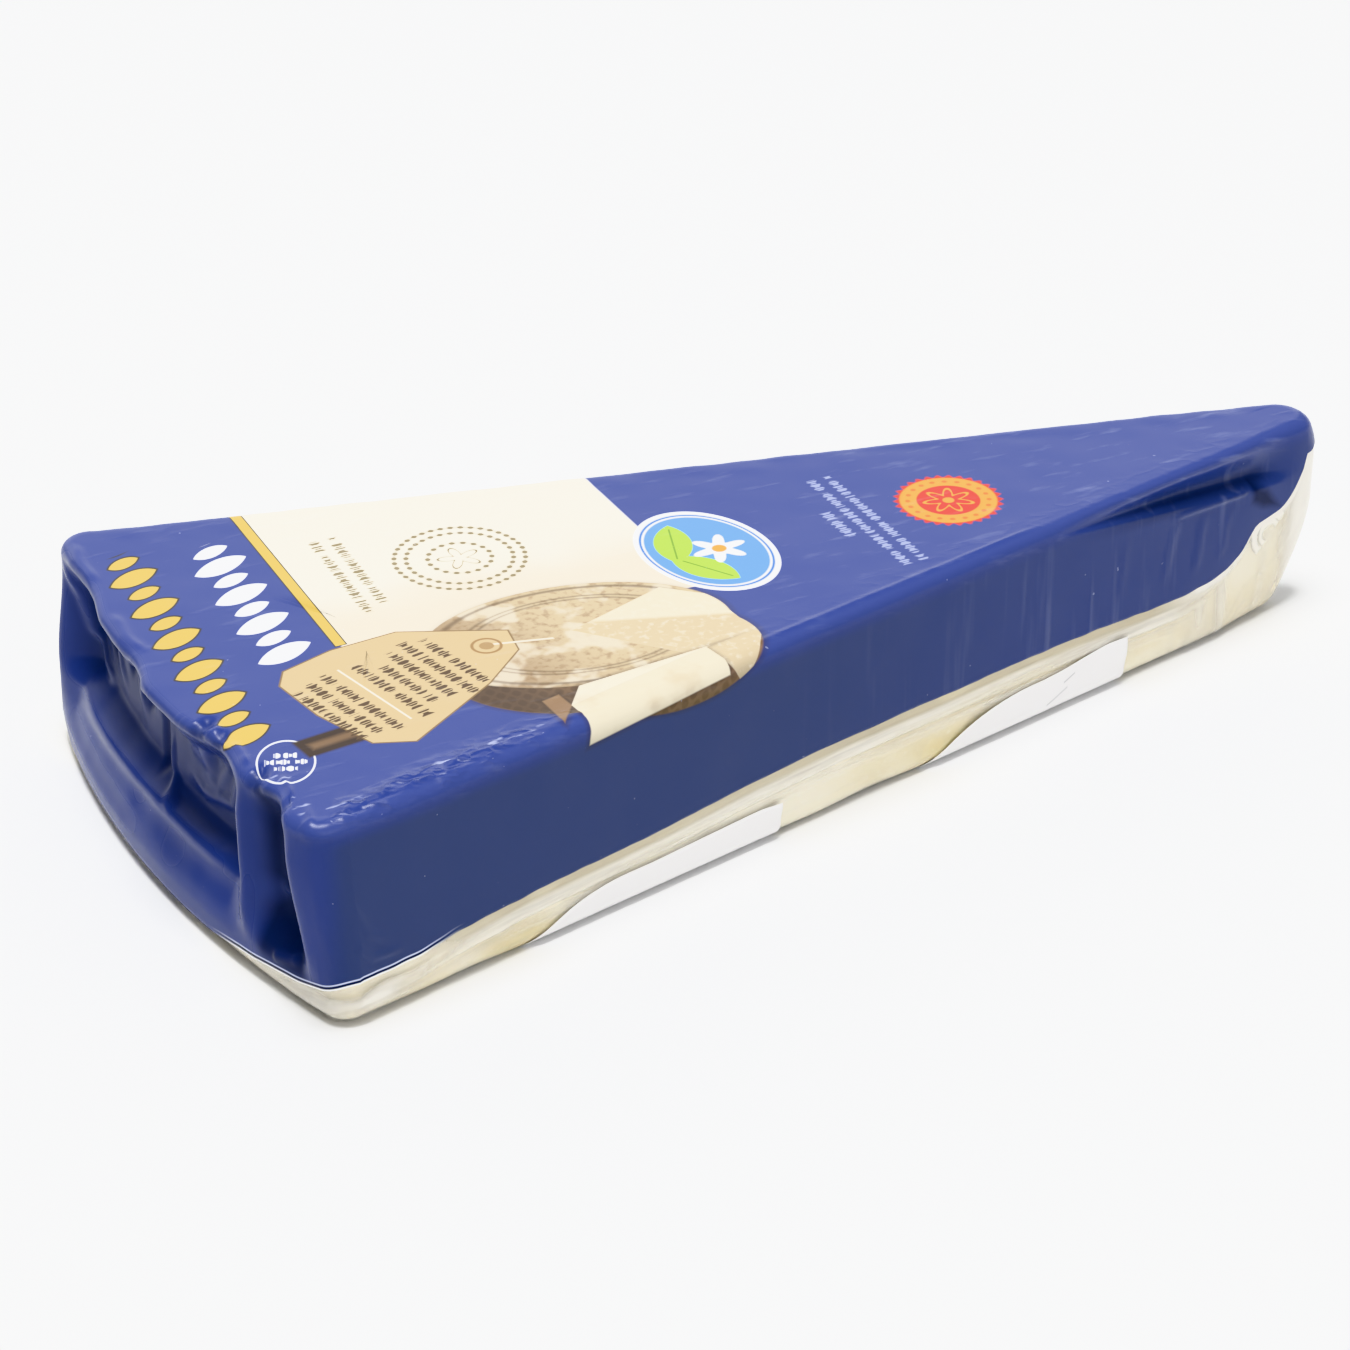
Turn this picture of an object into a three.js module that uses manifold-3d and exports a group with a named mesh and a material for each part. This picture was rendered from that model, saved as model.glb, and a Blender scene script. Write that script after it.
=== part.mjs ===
// A wedge of hard sheep's-milk cheese, vacuum packed in film, lying on its side face.
//
// A clear base film wraps the cheese from below and an opaque printed film is drawn down over it
// from above. Two paper labels sit on the underside and fold up over the lower front edge.
//
// Millimetres. +X points to the cut tip, +Y to the back, +Z up. The origin is at the middle of the
// pack's box, on the plane it rests on.

import * as THREE from 'three';
import { mergeVertices } from 'three/addons/utils/BufferGeometryUtils.js';
import Module from 'manifold-3d';

// ---------------------------------------------------------------- driving dimensions

// The wedge seen from above: two straight cut faces that meet at a round tip, and the rind's arc.
const LENGTH = 179;
const HEIGHT = 29.9;
const HALF_ANGLE = THREE.MathUtils.degToRad(13.37);
const TIP_RADIUS = 4.2;
const RIND_RADIUS = 168;
const RIND_SKEW = 8; // how far the arc's outermost point lies behind the wedge's middle line
const RIND_CORNER_RADIUS = 4;

// Edges.
const TOP_EDGE_RADIUS = 1.8;
const BOTTOM_EDGE_RADIUS = 2.6;
const TIP_TOP_ROUNDING = { inset: 2, depth: 7, power: 2 };
const TIP_BOTTOM_ROUNDING = { inset: 6.3, depth: 17, power: 1.5 };
const TIP_ROUNDING_LENGTH = 22; // how far back from the tip its roundings fade out

// The printed film and the labels lie flush in the clear film's surface. They are far thicker than
// real film and paper, so that each is a sound solid.
const SKIN_THICKNESS = 0.4;
const GAP = 0.3;

// The film drawn into the hollow of the rind end, between the upper rim and the lower skirt.
const SKIRT = { foot: 4, ridge: 10.6, setback: 2.4 };
const HOLLOW = { nearEnd: -26, farEnd: 42, soft: 7, depth: 3.4, sill: 10.1, floor: 14, roof: 22 };
// An upright pleat beside the near corner, and the ridges of film that stand on each side of it.
const PLEAT = { nearEnd: -38.5, farEnd: -25.5, soft: 4, depth: 3, foot: 5, roof: 24 };
const RIDGE = { height: 1, halfWidth: 1.8 };
// The upper near corner leans out over the lower one.
const NEAR_CORNER_LEAN = { reach: 2.4, farEnd: -27, soft: 10 };
// The upper rim stands in from the lower arc, except near the near corner.
const RIM_SETBACK = { depth: 1.4, from: -2, to: 14, foot: 12 };
// Round bites that the film's tension takes out of the upper rim, each at its own y.
const RIM_BITES = [
  { y: -33, halfWidth: 5.5, depth: 1.7 },
  { y: -17.5, halfWidth: 8.5, depth: 1.4 },
  { y: 6, halfWidth: 7, depth: 0.9 },
  { y: 28, halfWidth: 9, depth: 1 },
];
const RIM_DEPTH = 9; // how far down the wall a bite fades out
const RIM_BAND = 3; // the upright band of the rim, under the top face

// A groove under the upper front edge, which widens towards the tip. Its lower bank is steep, and it
// is deepest from there to its ridge, both as shares of its width.
const GROOVE = { start: 34, end: 82, depth: 1.7, dropAtTip: 8.6, dropAtStart: 1.6 };
const GROOVE_BANK = 0.25;
const GROOVE_RIDGE = 0.3;
const GROOVE_RUN_IN = 0.6; // the share of its length over which it deepens

// Height of the printed film's lower edge, by x, along each straight side.
const FRONT_EDGE_HEIGHTS = [
  [-80, 6], [-72, 6.1], [-64, 8.3], [-59, 7.9], [-24, 9.1], [-6, 10.2], [20, 10], [34, 10.5], [47, 9.5],
  [65, 10.3], [73, 10.6], [75.6, 13.5], [77, 18], [81.4, 18.3], [84, 21], [86.2, 25],
];
const BACK_EDGE_HEIGHTS = [[-84, 5.5], [-60, 8.6], [-15, 9.4], [30, 8.8], [66, 9.6], [78, 15], [86.2, 25]];
const RIND_EDGE_HEIGHTS = [[-41, 5.4], [-35, 4.6], [-25, 3.2], [-14, 1.5], [-6, 0.8], [32, 0.8], [43, 5]];
const TIP_EDGE_HEIGHT = 26.6;

// Labels, by x: the foot where the curved end leaves the underside, the shoulder where it reaches its
// height on the front wall, and the square end. Then both heights, and the depth under the pack.
const LABELS = [
  { name: 'underside_label_rind', foot: -52.5, shoulder: -36, end: -11, heights: [5, 5.6], depth: 30 },
  { name: 'underside_label_tip', foot: 14.6, shoulder: 35, end: 51.6, heights: [6.2, 7.6], depth: 14 },
];

// ---------------------------------------------------------------- sampling and cutting

const RIND_STEPS = 42;
const CORNER_STEPS = 5;
const SIDE_STEPS = 16;
const SIDE_CROWDING = 1.6; // above 1, the points of a cut face crowd towards the tip
const TIP_STEPS = 9;
const BOTTOM_EDGE_STEPS = 3;
const TOP_EDGE_STEPS = 2;
const LABEL_CURVE_STEPS = 8;
const WALL_HEIGHTS = [5, 8, 10.6, 12.2, 14.2, 18, 22, 25.4];
const FAN_X = -30; // where the triangles of the two flat faces meet
const PAST = 1; // how far a cutting block goes past the form
// The inner end of a film zone's floor: a slim copy of the outline.
const ZONE_CORE = { rindEnd: -60, tipEnd: 77.5, share: 0.1, height: 9 };

// ---------------------------------------------------------------- small helpers

const { smoothstep, lerp, clamp } = THREE.MathUtils;

// 1 between the two ends, falling smoothly to 0 over `soft` inside each of them.
const window01 = (x, from, to, soft) => smoothstep(x, from, from + soft) * (1 - smoothstep(x, to - soft, to));

// 1 at the middle, 0 from half a width away.
const bump = (x, middle, halfWidth) => {
  const t = clamp(Math.abs(x - middle) / halfWidth, 0, 1);
  return (1 - t * t) ** 2;
};

// A smooth run through [x, height] pairs, level beyond both ends.
const runThrough = (pairs, x) => {
  const after = pairs.findIndex(([at]) => at >= x);
  if (after === 0) return pairs[0][1];
  if (after < 0) return pairs[pairs.length - 1][1];
  const [[x0, h0], [x1, h1]] = [pairs[after - 1], pairs[after]];
  return lerp(h0, h1, smoothstep(x, x0, x1));
};

// ---------------------------------------------------------------- the outline seen from above

const SIN = Math.sin(HALF_ANGLE);
const COS = Math.cos(HALF_ANGLE);
const TIP_X = LENGTH / 2;
const APEX_X = TIP_X + TIP_RADIUS * (1 / SIN - 1); // where the two cut faces would meet
const TIP_CENTRE_X = TIP_X - TIP_RADIUS;
const RIND_CENTRE = new THREE.Vector2(RIND_RADIUS - LENGTH / 2, RIND_SKEW);

// The centre of the round corner between the rind's arc and the cut face at side -1 or +1.
function cornerCentre(side) {
  const start = new THREE.Vector2(APEX_X - RIND_CORNER_RADIUS / SIN, 0);
  const along = new THREE.Vector2(-COS, side * SIN);
  const offset = start.clone().sub(RIND_CENTRE);
  const reach = RIND_RADIUS - RIND_CORNER_RADIUS;
  const b = offset.dot(along);
  const run = -b + Math.sqrt(b * b - offset.lengthSq() + reach * reach);
  return start.addScaledVector(along, run);
}

// Points of an arc, both ends among them.
function arc(centre, radius, from, to, steps, zone) {
  return Array.from({ length: steps + 1 }, (_, i) => {
    const angle = lerp(from, to, i / steps);
    const normal = new THREE.Vector2(Math.cos(angle), Math.sin(angle));
    return { point: centre.clone().addScaledVector(normal, radius), normal, zone };
  });
}

// Points of a cut face from the tip to a rind corner, both ends among them.
function cutFace(tipEnd, rindEnd, normal, zone) {
  return Array.from({ length: SIDE_STEPS + 1 }, (_, i) => {
    const share = (i / SIDE_STEPS) ** SIDE_CROWDING;
    return { point: tipEnd.clone().lerp(rindEnd, share), normal: normal.clone(), zone };
  });
}

// The whole outline, anticlockwise from the tip's front, each point with its outward normal.
function outline() {
  const tipCentre = new THREE.Vector2(TIP_CENTRE_X, 0);
  const tipTurn = Math.PI / 2 - HALF_ANGLE;
  const [near, far] = [cornerCentre(-1), cornerCentre(1)];
  const backNormal = new THREE.Vector2(SIN, COS);
  const frontNormal = new THREE.Vector2(SIN, -COS);
  const farTurn = far.clone().sub(RIND_CENTRE).angle();
  const nearTurn = near.clone().sub(RIND_CENTRE).angle();
  const onBack = (centre, radius) => centre.clone().addScaledVector(backNormal, radius);
  const onFront = (centre, radius) => centre.clone().addScaledVector(frontNormal, radius);
  const [backTip, frontTip] = [onBack(tipCentre, TIP_RADIUS), onFront(tipCentre, TIP_RADIUS)];
  const back = cutFace(backTip, onBack(far, RIND_CORNER_RADIUS), backNormal, 'back');
  const front = cutFace(frontTip, onFront(near, RIND_CORNER_RADIUS), frontNormal, 'front');
  return [
    ...arc(tipCentre, TIP_RADIUS, -tipTurn, tipTurn, TIP_STEPS, 'tip').slice(1, -1),
    ...back,
    ...arc(far, RIND_CORNER_RADIUS, tipTurn, farTurn, CORNER_STEPS, 'rind').slice(1),
    ...arc(RIND_CENTRE, RIND_RADIUS, farTurn, nearTurn, RIND_STEPS, 'rind').slice(1, -1),
    ...arc(near, RIND_CORNER_RADIUS, nearTurn, 2 * Math.PI - tipTurn, CORNER_STEPS, 'rind').slice(0, -1),
    ...front.reverse(),
  ];
}

// ---------------------------------------------------------------- relief of the walls

// How far the rind end's wall stands in from the arc.
function rindRelief(y, z) {
  const inHollow = window01(y, HOLLOW.nearEnd, HOLLOW.farEnd, HOLLOW.soft);
  const skirt = SKIRT.setback * smoothstep(z, SKIRT.foot, SKIRT.ridge);
  const drawn = HOLLOW.depth * smoothstep(z, HOLLOW.sill, HOLLOW.floor);
  const hollow = inHollow * (skirt + drawn) * (1 - smoothstep(z, HOLLOW.roof, HEIGHT));

  const inPleat = window01(y, PLEAT.nearEnd, PLEAT.farEnd, PLEAT.soft);
  const pleat = inPleat * PLEAT.depth * window01(z, PLEAT.foot, HEIGHT, HEIGHT - PLEAT.roof);

  const ridges = bump(y, PLEAT.farEnd, RIDGE.halfWidth) + bump(y, PLEAT.nearEnd, RIDGE.halfWidth);
  const standing = RIDGE.height * ridges * window01(z, SKIRT.foot, HEIGHT, SKIRT.ridge - SKIRT.foot);

  const nearRim = smoothstep(z, HEIGHT - RIM_DEPTH, HEIGHT - TOP_EDGE_RADIUS);
  const bites = RIM_BITES.reduce((sum, bite) => sum + bite.depth * bump(y, bite.y, bite.halfWidth), 0);
  const setback = RIM_SETBACK.depth * smoothstep(y, RIM_SETBACK.from, RIM_SETBACK.to);
  const rim = nearRim * bites + setback * smoothstep(z, RIM_SETBACK.foot, HEIGHT - RIM_BAND);

  const { reach, farEnd, soft } = NEAR_CORNER_LEAN;
  const leaning = 1 - smoothstep(y, farEnd - soft, farEnd);
  const lean = reach * leaning * smoothstep(z, SKIRT.foot, HEIGHT - RIM_BAND);
  return hollow + pleat + rim - standing - lean;
}

// How far the front wall stands in under the upper edge near the tip.
function grooveRelief(x, z) {
  const along = clamp((x - GROOVE.start) / (GROOVE.end - GROOVE.start), 0, 1);
  const crease = HEIGHT - lerp(GROOVE.dropAtStart, GROOVE.dropAtTip, along);
  const across = clamp((z - crease) / (HEIGHT - crease), 0, 1);
  const profile = smoothstep(across, 0, GROOVE_BANK) * (1 - smoothstep(across, GROOVE_RIDGE, 1));
  return GROOVE.depth * smoothstep(along, 0, GROOVE_RUN_IN) * profile;
}

// How far the tip's end draws back towards its upper and lower edges.
function tipRounding(z) {
  const drawn = ({ inset, depth, power }, fromEdge) => inset * clamp(1 - fromEdge / depth, 0, 1) ** power;
  return drawn(TIP_TOP_ROUNDING, HEIGHT - z) + drawn(TIP_BOTTOM_ROUNDING, z);
}

// A point of the wall, from a point of the outline, a height and an inset for the round edges.
function wallPoint({ point, normal, zone }, z, inset) {
  const relief = zone === 'rind' ? rindRelief(point.y, z) : 0;
  const groove = zone === 'front' ? grooveRelief(point.x, z) : 0;
  const drawnBack = tipRounding(z) * smoothstep(point.x, TIP_X - TIP_ROUNDING_LENGTH, TIP_X);
  return new THREE.Vector3(
    point.x - normal.x * (inset + groove) + relief - drawnBack,
    point.y - normal.y * (inset + groove),
    z,
  );
}

// ---------------------------------------------------------------- the pack's outer form

const OUTLINE = outline();

// Heights and insets of the rings, from the underside to the top.
function rings() {
  const turns = (steps) => Array.from({ length: steps + 1 }, (_, i) => (i / steps) * (Math.PI / 2));
  const lower = turns(BOTTOM_EDGE_STEPS).map((turn) => ({
    z: BOTTOM_EDGE_RADIUS * (1 - Math.cos(turn)),
    inset: BOTTOM_EDGE_RADIUS * (1 - Math.sin(turn)),
  }));
  const upper = turns(TOP_EDGE_STEPS).map((turn) => ({
    z: HEIGHT - TOP_EDGE_RADIUS * (1 - Math.sin(turn)),
    inset: TOP_EDGE_RADIUS * (1 - Math.cos(turn)),
  }));
  return [...lower, ...WALL_HEIGHTS.map((z) => ({ z, inset: 0 })), ...upper];
}

// A closed mesh from rings of equal length, from the lowest to the highest, with flat end caps.
function loft(loops, lowCentre, highCentre) {
  const columns = loops[0].length;
  const vertices = [...loops.flat(), lowCentre, highCentre];
  const low = vertices.length - 2;
  const high = vertices.length - 1;
  const faces = [];
  for (let column = 0; column < columns; column += 1) {
    const next = (column + 1) % columns;
    faces.push(low, next, column);
    for (let row = 0; row + 1 < loops.length; row += 1) {
      const [a, b] = [row * columns + column, row * columns + next];
      faces.push(a, b, b + columns, a, b + columns, a + columns);
    }
    const last = (loops.length - 1) * columns;
    faces.push(last + column, last + next, high);
  }
  const geometry = new THREE.BufferGeometry().setFromPoints(vertices);
  geometry.setIndex(faces);
  return geometry;
}

const FORM = loft(
  rings().map(({ z, inset }) => OUTLINE.map((station) => wallPoint(station, z, inset))),
  new THREE.Vector3(FAN_X, 0, 0),
  new THREE.Vector3(FAN_X, 0, HEIGHT),
);

// The outer form drawn in all over by a depth, its two flat faces staying level.
function drawnIn(depth) {
  const geometry = FORM.clone();
  geometry.computeVertexNormals();
  const position = geometry.getAttribute('position');
  const normal = geometry.getAttribute('normal');
  const [low, high] = [0, Math.fround(HEIGHT)];
  const height = (i) => {
    const z = position.getZ(i);
    if (z === low) return low + depth;
    if (z === high) return high - depth;
    return z - normal.getZ(i) * depth;
  };
  for (let i = 0; i < position.count; i += 1) {
    const x = position.getX(i) - normal.getX(i) * depth;
    const y = position.getY(i) - normal.getY(i) * depth;
    position.setXYZ(i, x, y, height(i));
  }
  return geometry;
}

// ---------------------------------------------------------------- the zones that the skins cover

// Height of the printed film's lower edge at a point of the outline.
function filmEdgeHeight({ point, zone }) {
  if (zone === 'front') return runThrough(FRONT_EDGE_HEIGHTS, point.x);
  if (zone === 'back') return runThrough(BACK_EDGE_HEIGHTS, point.x);
  if (zone === 'rind') return runThrough(RIND_EDGE_HEIGHTS, point.y);
  const run = point.y < 0 ? FRONT_EDGE_HEIGHTS : BACK_EDGE_HEIGHTS;
  const side = run[run.length - 1][1];
  return lerp(TIP_EDGE_HEIGHT, side, Math.abs(point.y) / TIP_RADIUS);
}

// Everything above the printed film's lower edge, let down by a margin.
function filmZone(margin) {
  const outer = PAST + NEAR_CORNER_LEAN.reach;
  const { rindEnd, tipEnd, share } = ZONE_CORE;
  const edge = OUTLINE.map((station) => filmEdgeHeight(station) - margin);
  const outside = ({ point, normal }) => point.clone().addScaledVector(normal, outer);
  const inside = ({ point }) => new THREE.Vector2(clamp(point.x, rindEnd, tipEnd), point.y * share);
  const loop = (place, height) => OUTLINE.map((station, i) => {
    const { x, y } = place(station);
    return new THREE.Vector3(x, y, height(i));
  });
  return loft(
    [loop(inside, (i) => edge[i]), loop(outside, (i) => edge[i]), loop(outside, () => HEIGHT + PAST)],
    new THREE.Vector3(0, 0, ZONE_CORE.height),
    new THREE.Vector3(FAN_X, 0, HEIGHT + PAST),
  );
}

// The two blocks that cover a label: one on the front wall and one underneath.
function labelBlocks({ foot, shoulder, end, heights, depth }, margin) {
  const frontY = (x) => -(APEX_X - x) * Math.tan(HALF_ANGLE);
  const [from, to] = [foot - margin, end + margin];
  const bent = BOTTOM_EDGE_RADIUS + PAST; // how far in from the wall the round edge reaches

  const onWall = new THREE.Shape();
  onWall.moveTo(from, -PAST);
  onWall.quadraticCurveTo(from + PAST, heights[0] + margin, shoulder, heights[0] + margin);
  onWall.lineTo(to, heights[1] + margin);
  onWall.lineTo(to, -PAST);
  const wallBlock = new THREE.ExtrudeGeometry(onWall, {
    depth: bent + PAST,
    bevelEnabled: false,
    curveSegments: LABEL_CURVE_STEPS,
  });
  wallBlock.translate(-foot, 0, -bent);
  wallBlock.rotateX(Math.PI / 2);
  wallBlock.rotateZ(HALF_ANGLE);
  wallBlock.translate(foot, frontY(foot), 0);

  const under = new THREE.Shape();
  under.moveTo(from, frontY(foot) - PAST);
  under.lineTo(to, frontY(end) - PAST);
  under.lineTo(to, frontY(end) + depth + margin);
  under.lineTo(from, frontY(end) + depth + margin);
  const underBlock = new THREE.ExtrudeGeometry(under, {
    depth: PAST + BOTTOM_EDGE_RADIUS / 2,
    bevelEnabled: false,
  });
  underBlock.translate(0, 0, -PAST);
  return [wallBlock, underBlock];
}

// ---------------------------------------------------------------- joins and cuts

const wasm = await Module();
wasm.setup();

// A closed geometry as a solid.
function solid(geometry) {
  const bare = geometry.clone();
  bare.deleteAttribute('normal');
  bare.deleteAttribute('uv');
  const merged = mergeVertices(bare, 1e-5);
  return new wasm.Manifold(new wasm.Mesh({
    numProp: 3,
    vertProperties: new Float32Array(merged.getAttribute('position').array),
    triVerts: new Uint32Array(merged.getIndex().array),
  }));
}

// A solid back as a geometry.
function geometryOf(body) {
  const { vertProperties, triVerts } = body.getMesh();
  const geometry = new THREE.BufferGeometry();
  geometry.setAttribute('position', new THREE.BufferAttribute(new Float32Array(vertProperties), 3));
  geometry.setIndex(new THREE.BufferAttribute(new Uint32Array(triVerts), 1));
  geometry.computeVertexNormals();
  return geometry;
}

// The main body of a cut solid, without the slivers that a cut can leave beside it.
const mainBody = (body) => body.decompose().reduce((a, b) => (b.volume() > a.volume() ? b : a));

const outerForm = solid(FORM);

const labelZone = (label, margin) => {
  const [wall, under] = labelBlocks(label, margin).map(solid);
  return wall.add(under);
};
const zones = (margin) => [solid(filmZone(margin)), ...LABELS.map((label) => labelZone(label, margin))];

// Each skin is the outer form inside its zone, down to the skin's thickness.
const belowSkins = solid(drawnIn(SKIN_THICKNESS));
const [printedFilm, ...labels] = zones(0).map((zone) => outerForm.intersect(zone).subtract(belowSkins));

// The cheese in its clear film shows wherever no skin lies, and runs on under them.
const uncovered = zones(GAP).reduce((body, zone) => body.subtract(zone), outerForm);
const contents = uncovered.add(solid(drawnIn(SKIN_THICKNESS + GAP)));

// ---------------------------------------------------------------- the scene graph

const FINISHES = {
  cheese: { color: 0xe8dfc2, roughness: 0.45, metalness: 0 },
  printedFilm: { color: 0x3a479a, roughness: 0.3, metalness: 0 },
  label: { color: 0xececec, roughness: 0.7, metalness: 0 },
};

function named(name, body, finish) {
  const mesh = new THREE.Mesh(geometryOf(mainBody(body)), new THREE.MeshStandardMaterial(finish));
  mesh.name = name;
  return mesh;
}

const pack = new THREE.Group();
pack.add(named('cheese_in_clear_film', contents, FINISHES.cheese));
pack.add(named('printed_film', printedFilm, FINISHES.printedFilm));
LABELS.forEach(({ name }, i) => pack.add(named(name, labels[i], FINISHES.label)));

const middle = new THREE.Box3().setFromObject(pack).getCenter(new THREE.Vector3());
pack.children.forEach((mesh) => mesh.geometry.translate(-middle.x, -middle.y, 0));

export default pack;
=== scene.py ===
"""A vacuum-packed wedge of hard cheese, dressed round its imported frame.

Shapes are worked out in millimetres, in the part's own frame: +X to the wedge's tip, +Y to its
back, +Z up from the face it lies on. Meshes are written in metres.
"""

import logging
import math
from dataclasses import dataclass, field
from enum import Enum
from typing import Any, Callable, Sequence

import bpy
import numpy as np
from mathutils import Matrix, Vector


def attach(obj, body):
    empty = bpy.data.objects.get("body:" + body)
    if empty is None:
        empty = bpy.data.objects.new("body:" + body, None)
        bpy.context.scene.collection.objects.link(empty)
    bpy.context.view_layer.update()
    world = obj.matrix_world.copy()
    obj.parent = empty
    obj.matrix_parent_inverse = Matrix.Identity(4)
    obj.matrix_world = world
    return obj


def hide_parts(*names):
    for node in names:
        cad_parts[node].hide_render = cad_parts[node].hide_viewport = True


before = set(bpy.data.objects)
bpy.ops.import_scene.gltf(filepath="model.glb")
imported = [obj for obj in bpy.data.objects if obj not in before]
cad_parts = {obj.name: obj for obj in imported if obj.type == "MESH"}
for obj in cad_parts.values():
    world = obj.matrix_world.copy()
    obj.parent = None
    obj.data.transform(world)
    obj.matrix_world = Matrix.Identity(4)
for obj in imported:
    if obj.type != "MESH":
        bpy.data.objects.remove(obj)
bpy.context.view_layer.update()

LOG = logging.getLogger("cheese_wedge")
MM = 0.001  # a millimetre in Blender's metres
WELD = 0.004 * MM  # points closer together than this become one
Array = np.ndarray


class Zone(Enum):
    """The stretches of the wedge's outline, seen from above."""

    TIP = 0
    BACK = 1
    RIND = 2
    FRONT = 3


# ---------------------------------------------------------------- numbers along a run


def smooth(value: Array, start: float, end: float) -> Array:
    """Rises smoothly from 0 at start to 1 at end."""
    t = np.clip((np.asarray(value, float) - start) / (end - start), 0, 1)
    return t * t * (3 - 2 * t)


def window(value: Array, start: float, end: float, soft: float) -> Array:
    """Is 0 outside two ends and rises to 1 over a soft stretch inside each of them."""
    return smooth(value, start, start + soft) * (1 - smooth(value, end - soft, end))


def bump(value: Array, middle: float, half_width: float) -> Array:
    """Is 1 at the middle and 0 from half a width away."""
    t = np.clip(np.abs(np.asarray(value, float) - middle) / half_width, 0, 1)
    return (1 - t * t) ** 2


def run_through(
    pairs: Sequence[tuple[float, float]], value: Array, reach: float = 1.0, samples: int = 13
) -> Array:
    """Runs through pairs of place and height with rounded bends, level beyond both ends.

    Args:
        pairs: place and height, in rising order of place.
        value: where to read the run.
        reach: how far to each side it is averaged, which rounds its bends.
        samples: how many places are averaged.

    Returns:
        The run's height at each value.
    """
    places, heights = zip(*pairs)
    at = np.asarray(value, float)[..., None] + np.linspace(-reach, reach, samples)
    return np.interp(at, places, heights).mean(-1)


def ripple(a: Array, b: Array, length: float, seed: int, waves: int = 7) -> Array:
    """A field of soft waves that cross at random, between about -1 and 1.

    Args:
        a: the first surface coordinate, in millimetres.
        b: the second surface coordinate, in millimetres.
        length: the mean distance between two crests.
        seed: picks the waves.
        waves: how many waves are added up.

    Returns:
        The field's height at each point.
    """
    pick = np.random.default_rng(seed)
    total = np.zeros(np.broadcast(a, b).shape)
    for _ in range(waves):
        turn, shift = pick.uniform(0, 2 * math.pi, 2)
        step = 2 * math.pi / (length * pick.uniform(0.7, 1.4))
        total = total + np.sin(step * (a * math.cos(turn) + b * math.sin(turn)) + shift)
    return total / math.sqrt(waves)


@dataclass(frozen=True)
class Fold:
    """A ridge or a furrow that the film keeps along a run of points.

    Attributes:
        run: points of its crest, in surface coordinates in millimetres.
        height: how far the crest stands out; below 0 it is a furrow.
        half_width: distance from the crest to the foot.
        taper: the share of its length over which each end fades out.
    """

    run: tuple[tuple[float, float], ...]
    height: float
    half_width: float
    taper: float = 0.25

    def relief(self, a: Array, b: Array) -> Array:
        """How far the fold moves each point of a surface.

        Args:
            a: first surface coordinate of the points.
            b: second surface coordinate of the points.

        Returns:
            The move of each point, in millimetres.
        """
        points = np.array(self.run, float)
        steps = np.linalg.norm(np.diff(points, axis=0), axis=1)
        ends = np.concatenate([[0], np.cumsum(steps)])
        nearest = np.full(np.shape(a), np.inf)
        along = np.zeros(np.shape(a))
        for start, end, before, step in zip(points, points[1:], ends, steps):
            way = (end - start) / step
            t = np.clip((a - start[0]) * way[0] + (b - start[1]) * way[1], 0, step)
            gap = np.hypot(a - start[0] - t * way[0], b - start[1] - t * way[1])
            closer = gap < nearest
            nearest = np.where(closer, gap, nearest)
            along = np.where(closer, before + t, along)
        total = ends[-1]
        fade = window(along, -1e-6, total + 1e-6, self.taper * total)
        return self.height * bump(nearest, 0, self.half_width) * fade


# ---------------------------------------------------------------- the wedge's form


@dataclass
class Outline:
    """Points round the wedge, seen from above, anticlockwise from the tip's front.

    Attributes:
        x: place along the wedge.
        y: place across it.
        nx: first part of the outward normal.
        ny: second part of the outward normal.
        zone: the number of each point's Zone.
    """

    x: Array
    y: Array
    nx: Array
    ny: Array
    zone: Array

    def closed(self) -> "Outline":
        """The same outline with its first point again at its end."""
        ends = [np.append(part, part[0]) for part in (self.x, self.y, self.nx, self.ny, self.zone)]
        return Outline(*ends)

    def on(self, zone: Zone) -> Array:
        """Tells which points lie on a zone."""
        return self.zone == zone.value


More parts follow.
